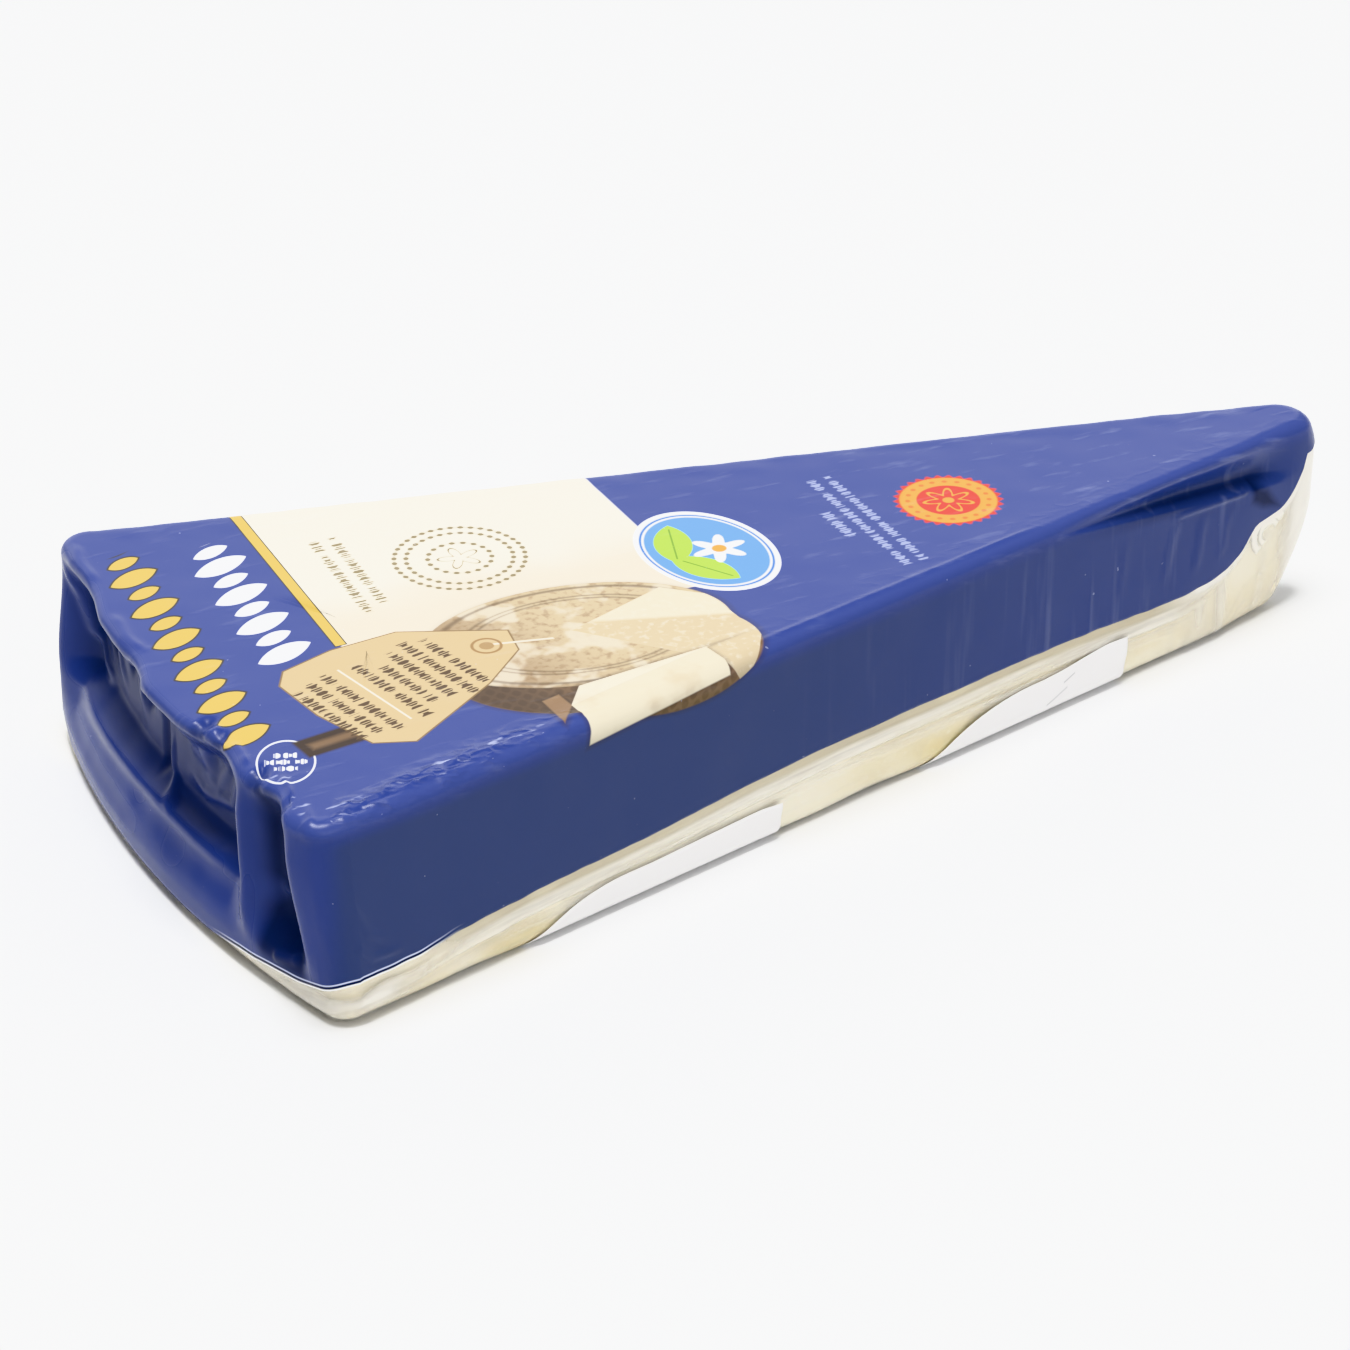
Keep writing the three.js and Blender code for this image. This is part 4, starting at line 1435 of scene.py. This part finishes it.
@dataclass
class PrintedTopFilm:
    """The printed film, drawn down over the top and sides and folded at the rind end.

    Attributes:
        form: the wedge's form.
        lip: its thickness at the cut edge, thicker than real so that it shows.
        core: its thickness higher up, where its back is hidden.
        shares: rows of the top, from the wedge's spine to its edge.
        edge_band: the section's stretch over the upper edge, and how soft its ends are.
        hollow: the span across of the rind end's hollow, where shade is painted.
        rind_share: how much of their height the rind's folds keep.
        rind_folds: folds across the rind end, in place across and length up the section.
        front_folds: folds along the front, in place along and length up the section.
    """

    form: WedgeForm
    lip: float = 0.2
    core: float = 0.65
    edge_band: tuple = (28.5, 36.0, 3.0)
    hollow: tuple = (-26.5, 41, 7)
    rind_share: float = 0.75
    shares: tuple = (1, 0.75, 0.55, 0.4, 0.3, 0.22, 0.16, 0.115, 0.08, 0.055, 0.035, 0.017)
    rind_folds: tuple = (
        Fold(((4.6, 20), (4, 14.5), (1.5, 12.2), (-2.5, 10.6)), 0.6, 1, 0.3),
        Fold(((7.5, 22), (7, 15), (5, 12.5)), -0.8, 1.8),
        Fold(((-1, 23.5), (-10, 22.5)), 1.4, 5, 0.4),
        Fold(((-13.5, 28.5), (-15.5, 22.5), (-13.5, 17.5), (-6, 15.6), (0.5, 16.2)), 0.6, 1.4, 0.3),
        Fold(((-10.5, 28), (-12.5, 22), (-9.5, 18), (-4, 17.6)), 0.3, 1.2, 0.3),
        Fold(((-7.5, 28.5), (-9, 24), (-6, 20.5)), 0.4, 1.3, 0.3),
        Fold(((-17.5, 26.5), (-18.5, 19), (-17, 13.5)), -1.1, 2.2),
        Fold(((-20.5, 28.5), (-21, 20), (-20, 13.5)), 0.5, 1.5, 0.3),
        Fold(((40.5, 28.5), (38.5, 22.5), (37, 18), (33, 14.5), (27, 13.6)), 0.8, 1.3, 0.2),
        Fold(((34.5, 28), (33, 21), (28, 17)), -0.8, 1.9),
        Fold(((31, 29.5), (30.5, 24), (27, 19), (22, 15)), 0.6, 1.4, 0.3),
        Fold(((25.5, 29), (25, 24), (20, 18.5)), -0.7, 1.5),
        Fold(((20.5, 29.5), (21.5, 25), (18, 20), (13, 15.5)), 0.7, 1.6, 0.3),
        Fold(((14.5, 28.5), (15, 23), (12, 17.5)), -0.8, 1.6),
        Fold(((10.5, 29.5), (11, 24), (9.5, 18)), 0.5, 1.5, 0.3),
        Fold(((1.5, 29.5), (1, 24.5)), 0.4, 1.4, 0.3),
        Fold(((-24, 27), (-24.3, 19), (-23.5, 12.5)), 0.4, 1.6, 0.3),
        Fold(((-32.5, 26.5), (-33.2, 19), (-32.5, 12), (-31.5, 6)), -2, 4.2, 0.2),
        Fold(((-28, 27.5), (-28.4, 17), (-28, 8)), 0.4, 1.5, 0.3),
        Fold(((-36.5, 16), (-32, 14), (-29, 14.2)), 1.1, 1.5),
        Fold(((-36.5, 7.4), (-30.5, 5.6)), 0.8, 1.3),
        Fold(((38, 9.4), (20, 10), (2, 10.8), (-14, 11), (-24, 12.6)), 0.55, 1.5, 0.2),
        Fold(((38, 6), (22, 5.6), (4, 5.4)), -0.3, 1.8, 0.2),
        Fold(((41, 31.5), (34, 30.6), (28, 30.4)), 0.4, 1.3),
        Fold(((20, 31.6), (13, 31), (7, 31.4)), 0.4, 1.2),
        Fold(((-13.5, 27.5), (-13.5, 31), (-12.8, 33)), -0.9, 1.6, 0.3),
        Fold(((-17.5, 27.5), (-17.4, 30.4), (-16.6, 32)), -0.7, 1.4, 0.3),
        Fold(((-28, 27.5), (-28, 31), (-27.5, 33)), -1, 1.6, 0.3),
        Fold(((-15.5, 29.5), (-15.3, 32)), 0.4, 1.1, 0.3),
        Fold(((-19, 30.8), (-22.5, 31.2), (-25.5, 30.8)), 0.45, 0.9),
        Fold(((-30, 32), (-33.5, 31.4), (-37, 32.4)), 0.5, 1),
        Fold(((-35.5, 28.5), (-36, 32)), -0.5, 1.5, 0.3),
        Fold(((-39.5, 33.4), (-41.5, 31), (-42.5, 27)), 0.35, 1.3),
    )
    front_folds: tuple = (
        Fold(((-80.5, 34.4), (-79.5, 32.6), (-78, 31.8), (-76.6, 32.6)), 0.35, 0.5),
        Fold(((-82.5, 30), (-81, 30.9), (-79.4, 30.2)), 0.35, 0.5),
        Fold(((-79, 31.4), (-77, 30.6), (-75, 31.2)), -0.3, 0.7),
        Fold(((-76, 31.2), (-74.6, 32.4), (-72.6, 32.2), (-71, 33.6)), 0.35, 0.5),
        Fold(((-71.5, 34.8), (-69, 33.6), (-67, 34.4)), 0.3, 0.5),
        Fold(((-70, 31), (-68, 32), (-66, 31.4), (-64, 32.4)), 0.3, 0.5),
        Fold(((-63.5, 33.4), (-61.5, 32.4), (-59, 33)), 0.28, 0.5),
        Fold(((-60, 31.2), (-57, 32.2), (-54, 31.6), (-51, 32.4)), 0.28, 0.5),
        Fold(((-49, 31.4), (-44, 31.8), (-38, 31.2)), 0.2, 0.6),
        Fold(((-17, 31.2), (10, 31.1), (36, 31)), 0.16, 0.6, 0.1),
        Fold(((-80, 13.5), (-76, 9.4), (-71, 9)), 0.18, 0.9),
        Fold(((-80.5, 21), (-76.5, 13), (-73, 10.5)), 0.14, 0.9),
        Fold(((50, 13), (50.6, 20), (51, 24.5)), 0.12, 0.7),
        Fold(((58.5, 13), (59.5, 19), (61, 23.5)), 0.16, 0.8),
        Fold(((64.5, 12.5), (65.3, 18), (66, 22.5)), 0.2, 0.8),
        Fold(((69.5, 13), (70.3, 18), (71, 21.5)), 0.16, 0.7),
        Fold(((60, 23.4), (68, 22.9), (75, 22.6)), 0.25, 0.7, 0.1),
    )

    def build(self) -> bpy.types.Object:
        """Drapes the film and its back over the form.

        Returns:
            The film.
        """
        line = self.form.outline(rind=262, corner=12, front=300, back=106, tip=22).closed()
        outer = self._skin(line, self.shares, 7, 62, 0.0)
        inner = self._skin(line, self.shares[::3], 3, 24, 1.0)
        points, sheet, state = (np.concatenate([a, b[::-1]]) for a, b in zip(outer, inner))
        marks = {"sheet": sheet, "state": state}
        return Sheet("printed_top_film", points, (0, -1), marks).build()

    def add(self, material: bpy.types.Material) -> None:
        """Builds the film and dresses it in its material."""
        dress(self.build(), material, "printed_film", "printed_film")

    def _skin(
        self, line: Outline, shares: tuple, arc_steps: int, wall_steps: int, back: float
    ) -> tuple:
        """One face of the film, from the wedge's spine down to the cut edge.

        Args:
            line: the outline.
            shares: rows of the top.
            arc_steps: rows of the round edge.
            wall_steps: rows of the wall.
            back: 0 for the outer face and 1 for the one behind it.

        Returns:
            Its points, its places on the flat sheet and its state, each rows by columns by three.
        """
        form = self.form
        waver = 0.05 * ripple(line.x, line.y, 14, 3) + 0.04 * ripple(line.x, line.y, 4, 4)
        lowest = np.maximum(form.edge_height(line) + waver, 0.8)
        turn = np.linspace(math.pi / 2, 0, arc_steps + 1)[:, None] * np.ones(len(line.x))
        share = np.linspace(0, 1, wall_steps + 1)[1:, None]
        wall_z = (form.height - form.top_radius) * (1 - share) + lowest * share
        arc_z = form.height - form.top_radius * (1 - np.sin(turn))
        edge = form.wall(line, arc_z[:1])[0]
        top = form.level(edge, line, shares)
        points = np.concatenate([top, form.wall(line, arc_z), form.wall(line, wall_z)])
        inward = np.linalg.norm((top - edge)[..., :2], axis=-1)
        arc_s = form.height - form.top_radius + form.top_radius * turn
        section = np.concatenate([form.rolled + inward, arc_s, wall_z])
        rise = section - lowest
        normal = normals_of(points)
        normal[: len(shares)] = (0, 0, 1)
        move = self._creases(line, points, section)
        depth = back * (self.lip + (self.core - self.lip) * smooth(rise, 2.8, 7.0))
        points = points + normal * (move - depth)[..., None]
        points[..., 2] = np.minimum(points[..., 2], form.height + 0.35 - depth)
        fold = form.placed(edge)[:, :2]
        down = np.maximum(form.rolled - section, 0)[..., None] * np.stack([line.nx, line.ny], -1)
        flat = np.where(section[..., None] < form.rolled, fold + down, form.placed(points)[..., :2])
        sheet = np.concatenate([flat, section[..., None]], -1)
        # the state's first part is the painted shade
        state = np.stack([self._shade(line, section, move), rise, self._lively(line, section)], -1)
        return form.placed(points), sheet, state

    def _creases(self, line: Outline, points: Array, section: Array) -> Array:
        """How far each point of the film stands out from the plain form.

        Args:
            line: the outline.
            points: the film's points, in the wedge's frame.
            section: their places along the section.

        Returns:
            The distance at each point.
        """
        x, y = points[..., 0], np.broadcast_to(line.y, section.shape)
        at_rind = self.rind_share * sum(fold.relief(y, section) for fold in self.rind_folds)
        at_front = sum(fold.relief(x, section) for fold in self.front_folds)
        near_edge = window(section, *self.edge_band)
        ruffle = (1 - np.abs(ripple(x, section * 1.5, 6.0, 11))).clip(0) ** 2 * 0.16 * near_edge
        ruffle = ruffle * (smooth(-x, 42, 62) + 0.2 * smooth(-x, 0, 30))
        gathers = ripple(y, section * 0.22, 4.5, 23)
        gathers = gathers * window(section, 14, 31, 5) * window(y, -27, 40, 4)
        loose = ripple(y, section, 9, 21) * (0.04 + 0.06 * smooth(section, 10, 14))
        loose = loose * window(section, 3, 30, 5) + 0.03 * gathers
        tight = 0.03 * ripple(x, section, 13, 31) * window(section, 8, 31, 4)
        at_back = 0.04 * ripple(x, section * 1.3, 8.0, 41) * window(section, 26.5, 36.0, 3.0)
        past_corner = smooth(x, -84, -76)
        move = np.where(line.on(Zone.RIND), at_rind + loose * window(y, -35, 42, 4), 0)
        move = move + np.where(line.on(Zone.FRONT), at_front + ruffle + tight * past_corner, 0)
        return move + np.where(line.on(Zone.BACK), (at_back + tight) * past_corner, 0)

    def _shade(self, line: Outline, section: Array, move: Array) -> Array:
        """How much painted shade the film gets at each point.

        Args:
            line: the outline.
            section: places along the section.
            move: how far each point stands out.

        Returns:
            The painted shade, between 0 and 1.
        """
        y = np.broadcast_to(line.y, section.shape)
        hollow = window(y, *self.hollow) * window(section, 9.5, 31, 5)
        pleat = window(y, -38.8, -26.5, 2.5) * window(section, 3, 30, 3)
        pleat = pleat * (1 - 0.55 * bump(section, 13.5, 3.2))
        sunk, raised = np.clip(-move, 0, 1.2), np.clip(move, 0, 1)
        # painted shade: deepest in the pleat, deeper in the hollow and sunk folds, less on raised
        # folds
        deep = 0.5 * hollow + 0.92 * pleat + sunk * 0.45 - raised * 0.35
        return np.where(line.on(Zone.RIND), np.clip(deep, 0, 0.93), 0)

    def _lively(self, line: Outline, section: Array) -> Array:
        """How crinkled the film is at each point.

        Args:
            line: the outline.
            section: places along the section.

        Returns:
            The crinkle, between 0 and 1.
        """
        x = np.broadcast_to(line.x, section.shape)
        front = window(section, 28.6, 35.5, 2.2) * (smooth(-x, 40, 58) * 0.8 + 0.1) * (line.y < 0)
        return np.where(line.on(Zone.RIND), 0, front)


@dataclass
class Cheese:
    """The wedge of cheese inside the pack.

    Attributes:
        form: the wedge's form.
        shown_depth: how far it lies inside the form where it shows.
        covered_depth: the same behind the printed film.
        hollow_depth: how much deeper it lies behind the rind end's hollow.
        worn: how far its faces waver.
    """

    form: WedgeForm
    shown_depth: float = 0.5
    covered_depth: float = 1.6
    hollow_depth: float = 2.6
    worn: float = 0.12

    def build(self) -> bpy.types.Object:
        """Drapes a closed body a little inside the form.

        Returns:
            The cheese.
        """
        form = self.form
        line = form.outline(rind=90, corner=8, front=120, back=90, tip=14).closed()
        foot = form.foot_radius * (1 - np.sin(np.linspace(0.1, math.pi / 2, 8)))
        z = np.concatenate([np.linspace(form.height, form.foot_radius, 46), foot])
        z = z[:, None] * np.ones(len(line.x))
        hollow = self.hollow_depth * window(line.y, -41, 42, 5) * line.on(Zone.RIND)
        behind = self.covered_depth + hollow - self.shown_depth
        depth = self.shown_depth + behind * smooth(z - form.edge_height(line), 0.5, 3.0)
        wall = form.wall(line, z, depth)
        shares = np.array([1, 0.6, 0.3, 0.1])
        top, under = form.level(wall[0], line, shares), form.level(wall[-1], line, shares[::-1])
        points = np.concatenate([top, wall, under])
        worn = ripple(points[..., 0], points[..., 2] * 2 + points[..., 1] * 0.3, 17, 51)
        points = points + normals_of(points) * self.worn * worn[..., None]
        return Sheet("cheese", form.placed(points), (0, -1)).build()

    def add(self, material: bpy.types.Material) -> None:
        """Builds the cheese and dresses it in its material."""
        dress(self.build(), material, "cheese", "cheese_in_clear_film")


@dataclass
class ClearBaseFilm:
    """The clear film under and round the cheese, with its folded seam below the printed film.

    Attributes:
        form: the wedge's form.
        thickness: of the film, thicker than real.
        depth: how far it lies inside the form.
        tuck: how far it reaches up behind the printed film.
        folds: folds along the front, in place along and height.
    """

    form: WedgeForm
    thickness: float = 0.12
    depth: float = 0.22
    tuck: float = 2.4
    folds: tuple = (
        Fold(((-80, 3.2), (-75, 4.6), (-70, 4.4), (-66, 5.4)), 0.25, 1.1),
        Fold(((-66, 5), (-60, 5.2), (-54, 4.6)), 0.15, 0.9),
        Fold(((66, 2.5), (66.5, 9)), 0.15, 1.2, 0.4),
        Fold(((70.5, 2.5), (70.8, 9.4)), 0.15, 1.2, 0.4),
        Fold(((82.6, 15), (82, 8)), 0.15, 1.4, 0.4),
        Fold(((85.6, 18), (85, 10)), 0.15, 1.2, 0.4),
    )

    def build(self) -> bpy.types.Object:
        """Drapes the film from under the printed film's edge down and across the underside.

        Returns:
            The film.
        """
        form = self.form
        line = form.outline(rind=110, corner=12, front=230, back=110, tip=24).closed()
        edge = np.maximum(form.edge_height(line), 0.9)
        upper = np.minimum(edge + self.tuck, form.height - 1.2)
        share = np.linspace(0, 1, 44)[:, None]
        wall_z = upper * (1 - share) + np.minimum(form.foot_radius, upper) * share
        turn = np.linspace(0, math.pi / 2, 8)[1:, None] * np.ones(len(line.x))
        z = np.concatenate([wall_z, np.minimum(form.foot_radius * (1 - np.sin(turn)), wall_z[-1])])
        wall = form.wall(line, z, self.depth + 0.5 * smooth(z - edge, 0.3, 1.6))
        under = form.level(wall[-1], line, np.array([0.03, 0.08, 0.16, 0.3, 0.5, 0.75, 1.0]))
        points = np.concatenate([wall, under])
        past = np.linalg.norm((under - wall[-1])[..., :2], axis=-1)
        below = np.concatenate([edge - z, edge + past])
        z = np.concatenate([z, np.zeros(past.shape)])
        x, y = points[..., 0], points[..., 1]
        tip = smooth(line.x, 56, 68) * np.ones(z.shape)
        seam = 0.09 * window(below, 1.0, 3.6, 0.6) + 0.05 * window(below, 3.75, 5.3, 0.5)
        seam = seam * np.where(line.on(Zone.RIND), smooth(edge, 3.0, 5.0), 1) * (1 - tip)
        folds = sum(fold.relief(x, z) for fold in self.folds) * (y < 0) * line.on(Zone.FRONT)
        slack = 0.05 * ripple(x, y * 2 + z, 9, 61) * smooth(below, 1, 5) * smooth(z, 0.2, 2.5)
        points = points + normals_of(points) * (seam + folds + slack)[..., None]
        points[..., 2] = np.maximum(points[..., 2], 0.14)
        corner = bump(x, -79, 13) * (y < -20) * bump(z, 3.4, 3.0)
        corner = corner * (0.45 + 0.3 * ripple(x, z * 2, 7, 91))
        end = smooth(x, 81, 88) * 0.7
        haze = np.clip(np.abs(folds) * 0.9 + corner + end, 0, 0.7)
        run = np.stack([np.broadcast_to(line.x, z.shape), below, tip], -1)
        marks = {"run": run, "haze": np.stack([haze, haze], -1)}
        place = form.placed(points)
        return Sheet("clear_base_film", place, (-1,), marks, self.thickness).build()

    def add(self, material: bpy.types.Material) -> None:
        """Builds the film and dresses it in its material."""
        dress(self.build(), material, "cheese", "cheese_in_clear_film")


@dataclass
class PaperLabel:
    """A paper label on the underside that folds up over the lower front edge.

    Attributes:
        name: the piece's name.
        node: the frame's node that it stands for.
        form: the wedge's form.
        foot: where its curved end leaves the underside.
        shoulder: where it reaches its height on the wall.
        end: its square end.
        heights: its heights at the shoulder and at the end.
        depth: how far it reaches under the pack, from its end's front edge.
        curl: how far its upper end corner lifts.
        thickness: of the paper.
        stand_off: how far its back stands out from the wedge's form.
    """

    name: str
    node: str
    form: WedgeForm
    foot: float
    shoulder: float
    end: float
    heights: tuple[float, float]
    depth: float
    curl: float = 0.4
    thickness: float = 0.1
    stand_off: float = 0.03

    def build(self) -> bpy.types.Object:
        """Drapes the label round the pack's lower front edge.

        Returns:
            The label.
        """
        form = self.form
        quarter = form.foot_radius * math.pi / 2
        x = np.linspace(self.foot, self.end, 110)
        t = np.clip((x - self.foot) / (self.shoulder - self.foot), 0, 1)
        rise = (1 - (1 - t) ** 2.2) * self.heights[0]
        slope = (self.heights[1] - self.heights[0]) * smooth(x, self.shoulder, self.end)
        upper = quarter - form.foot_radius + 0.2 + rise + slope
        front = np.array([math.sin(form.half_angle), -math.cos(form.half_angle)])
        slant = math.tan(form.half_angle)
        y = -(form.apex_x - x) * slant
        inner = -(form.apex_x - self.end) * slant + self.depth - y
        inner = inner * math.cos(form.half_angle)
        share = np.linspace(0, 1, 60)[:, None]
        reach = upper * (1 - share) - inner * share
        ones = np.ones(len(x))
        line = Outline(x, y, front[0] * ones, front[1] * ones, Zone.FRONT.value * ones)
        turn = np.clip(reach / form.foot_radius, 0, math.pi / 2)
        z = form.foot_radius * (1 - np.cos(turn)) + np.maximum(reach - quarter, 0)
        points = form.wall(line, z, -self.stand_off)
        points[..., 2] = np.maximum(points[..., 2], 0.0)
        points[..., :2] -= front * np.maximum(-reach, 0)[..., None]
        lift = self.curl * smooth(x, self.end - 4, self.end) * smooth(reach, quarter, quarter + 3.0)
        lift = lift + 0.05 * ripple(points[..., 0], reach, 11, 81).clip(0) * smooth(reach, 1, 4)
        points[..., :2] += front * lift[..., None]
        mark = np.stack([np.broadcast_to(x, reach.shape), reach], -1)
        marks = {"label": mark}
        return Sheet(self.name, form.placed(points), (), marks, self.thickness).build()

    def add(self, material: bpy.types.Material) -> None:
        """Builds the label and dresses it in its material."""
        dress(self.build(), material, "label", self.node)


# ---------------------------------------------------------------- the studio


@dataclass
class Studio:
    """A pale floor, soft lights and the camera at the photograph's angle.

    Attributes:
        camera_at: where the camera stands, in metres.
        yaw: how far it is turned about the upright, in radians.
        elevation: how far it looks down, in radians.
        lens: its focal length, in millimetres.
        floor_size: the floor's side, in metres.
        room: brightness of the room's light.
    """

    camera_at: tuple = (-0.255116, -0.476885, 0.313377)
    yaw: float = -0.470532
    elevation: float = 0.513803
    lens: float = 120.515
    floor_size: float = 12.0
    room: float = 0.3

    def build(self) -> None:
        """Builds the whole studio."""
        self._floor()
        self._lights()
        self._camera()

    def _floor(self) -> None:
        """A wide pale floor."""
        deselect()
        bpy.ops.mesh.primitive_plane_add(size=self.floor_size)
        floor = bpy.context.object
        floor.name = "floor"
        shader = Shader("floor")
        grey = (0.85, 0.85, 0.85)
        surface = shader.principled(Base_Color=grey, Roughness=0.9, Specular_IOR_Level=0.1)
        floor.data.materials.append(shader.finish(surface))

    def _lights(self) -> None:
        """A softbox overhead, a backdrop behind, a weak fill in front, and a dim room."""
        for name, place, size, power in (
            ("softbox", (-0.1, -0.05, 1.4), (0.55, 0.55), 29.0),
            ("backdrop", (0.35, 1.6, 0.75), (2.6, 1.4), 16.0),
            ("fill", (0.3, -1.5, 0.9), (1.6, 1.0), 8.0),
        ):
            bpy.ops.object.light_add(type="AREA", location=place)
            light = bpy.context.object
            light.name = name
            light.data.shape = "RECTANGLE"
            light.data.size, light.data.size_y = size
            light.data.energy = power
            light.rotation_euler = (-Vector(place)).to_track_quat("-Z", "Y").to_euler()
        world = bpy.data.worlds.new("studio")
        world.use_nodes = True
        sky = world.node_tree.nodes["Background"]
        sky.inputs["Color"].default_value = (0.96, 0.98, 1.0, 1.0)
        sky.inputs["Strength"].default_value = self.room
        bpy.context.scene.world = world
        bpy.context.scene.view_settings.view_transform = "Khronos PBR Neutral"

    def _camera(self) -> None:
        """The camera, where the photograph was taken from."""
        bpy.ops.object.camera_add(location=self.camera_at)
        camera = bpy.context.object
        camera.rotation_euler = (math.pi / 2 - self.elevation, 0.0, self.yaw)
        camera.data.lens = self.lens
        camera.data.sensor_width = 36.0
        camera.data.clip_start, camera.data.clip_end = 0.01, 50.0
        bpy.context.scene.camera = camera


def main() -> None:
    """Builds the pack piece by piece, then the studio round it."""
    logging.basicConfig(level=logging.INFO, format="%(message)s")
    clear = ClearFilmFinish().material()
    Cheese(FORM).add(CheeseFinish().material())
    ClearBaseFilm(FORM).add(clear)
    PrintedTopFilm(FORM).add(PrintedFilmFinish().material())
    paper = LabelFinish().material()
    PaperLabel(
        "paper_label_rind", "underside_label_rind", FORM,
        foot=-52.5, shoulder=-36.0, end=-11.0, heights=(5.0, 5.6), depth=30.0,
    ).add(paper)
    PaperLabel(
        "paper_label_tip", "underside_label_tip", FORM,
        foot=14.6, shoulder=35.0, end=51.6, heights=(6.2, 7.6), depth=14.0,
    ).add(paper)
    Studio().build()


if __name__ == "__main__":
    main()
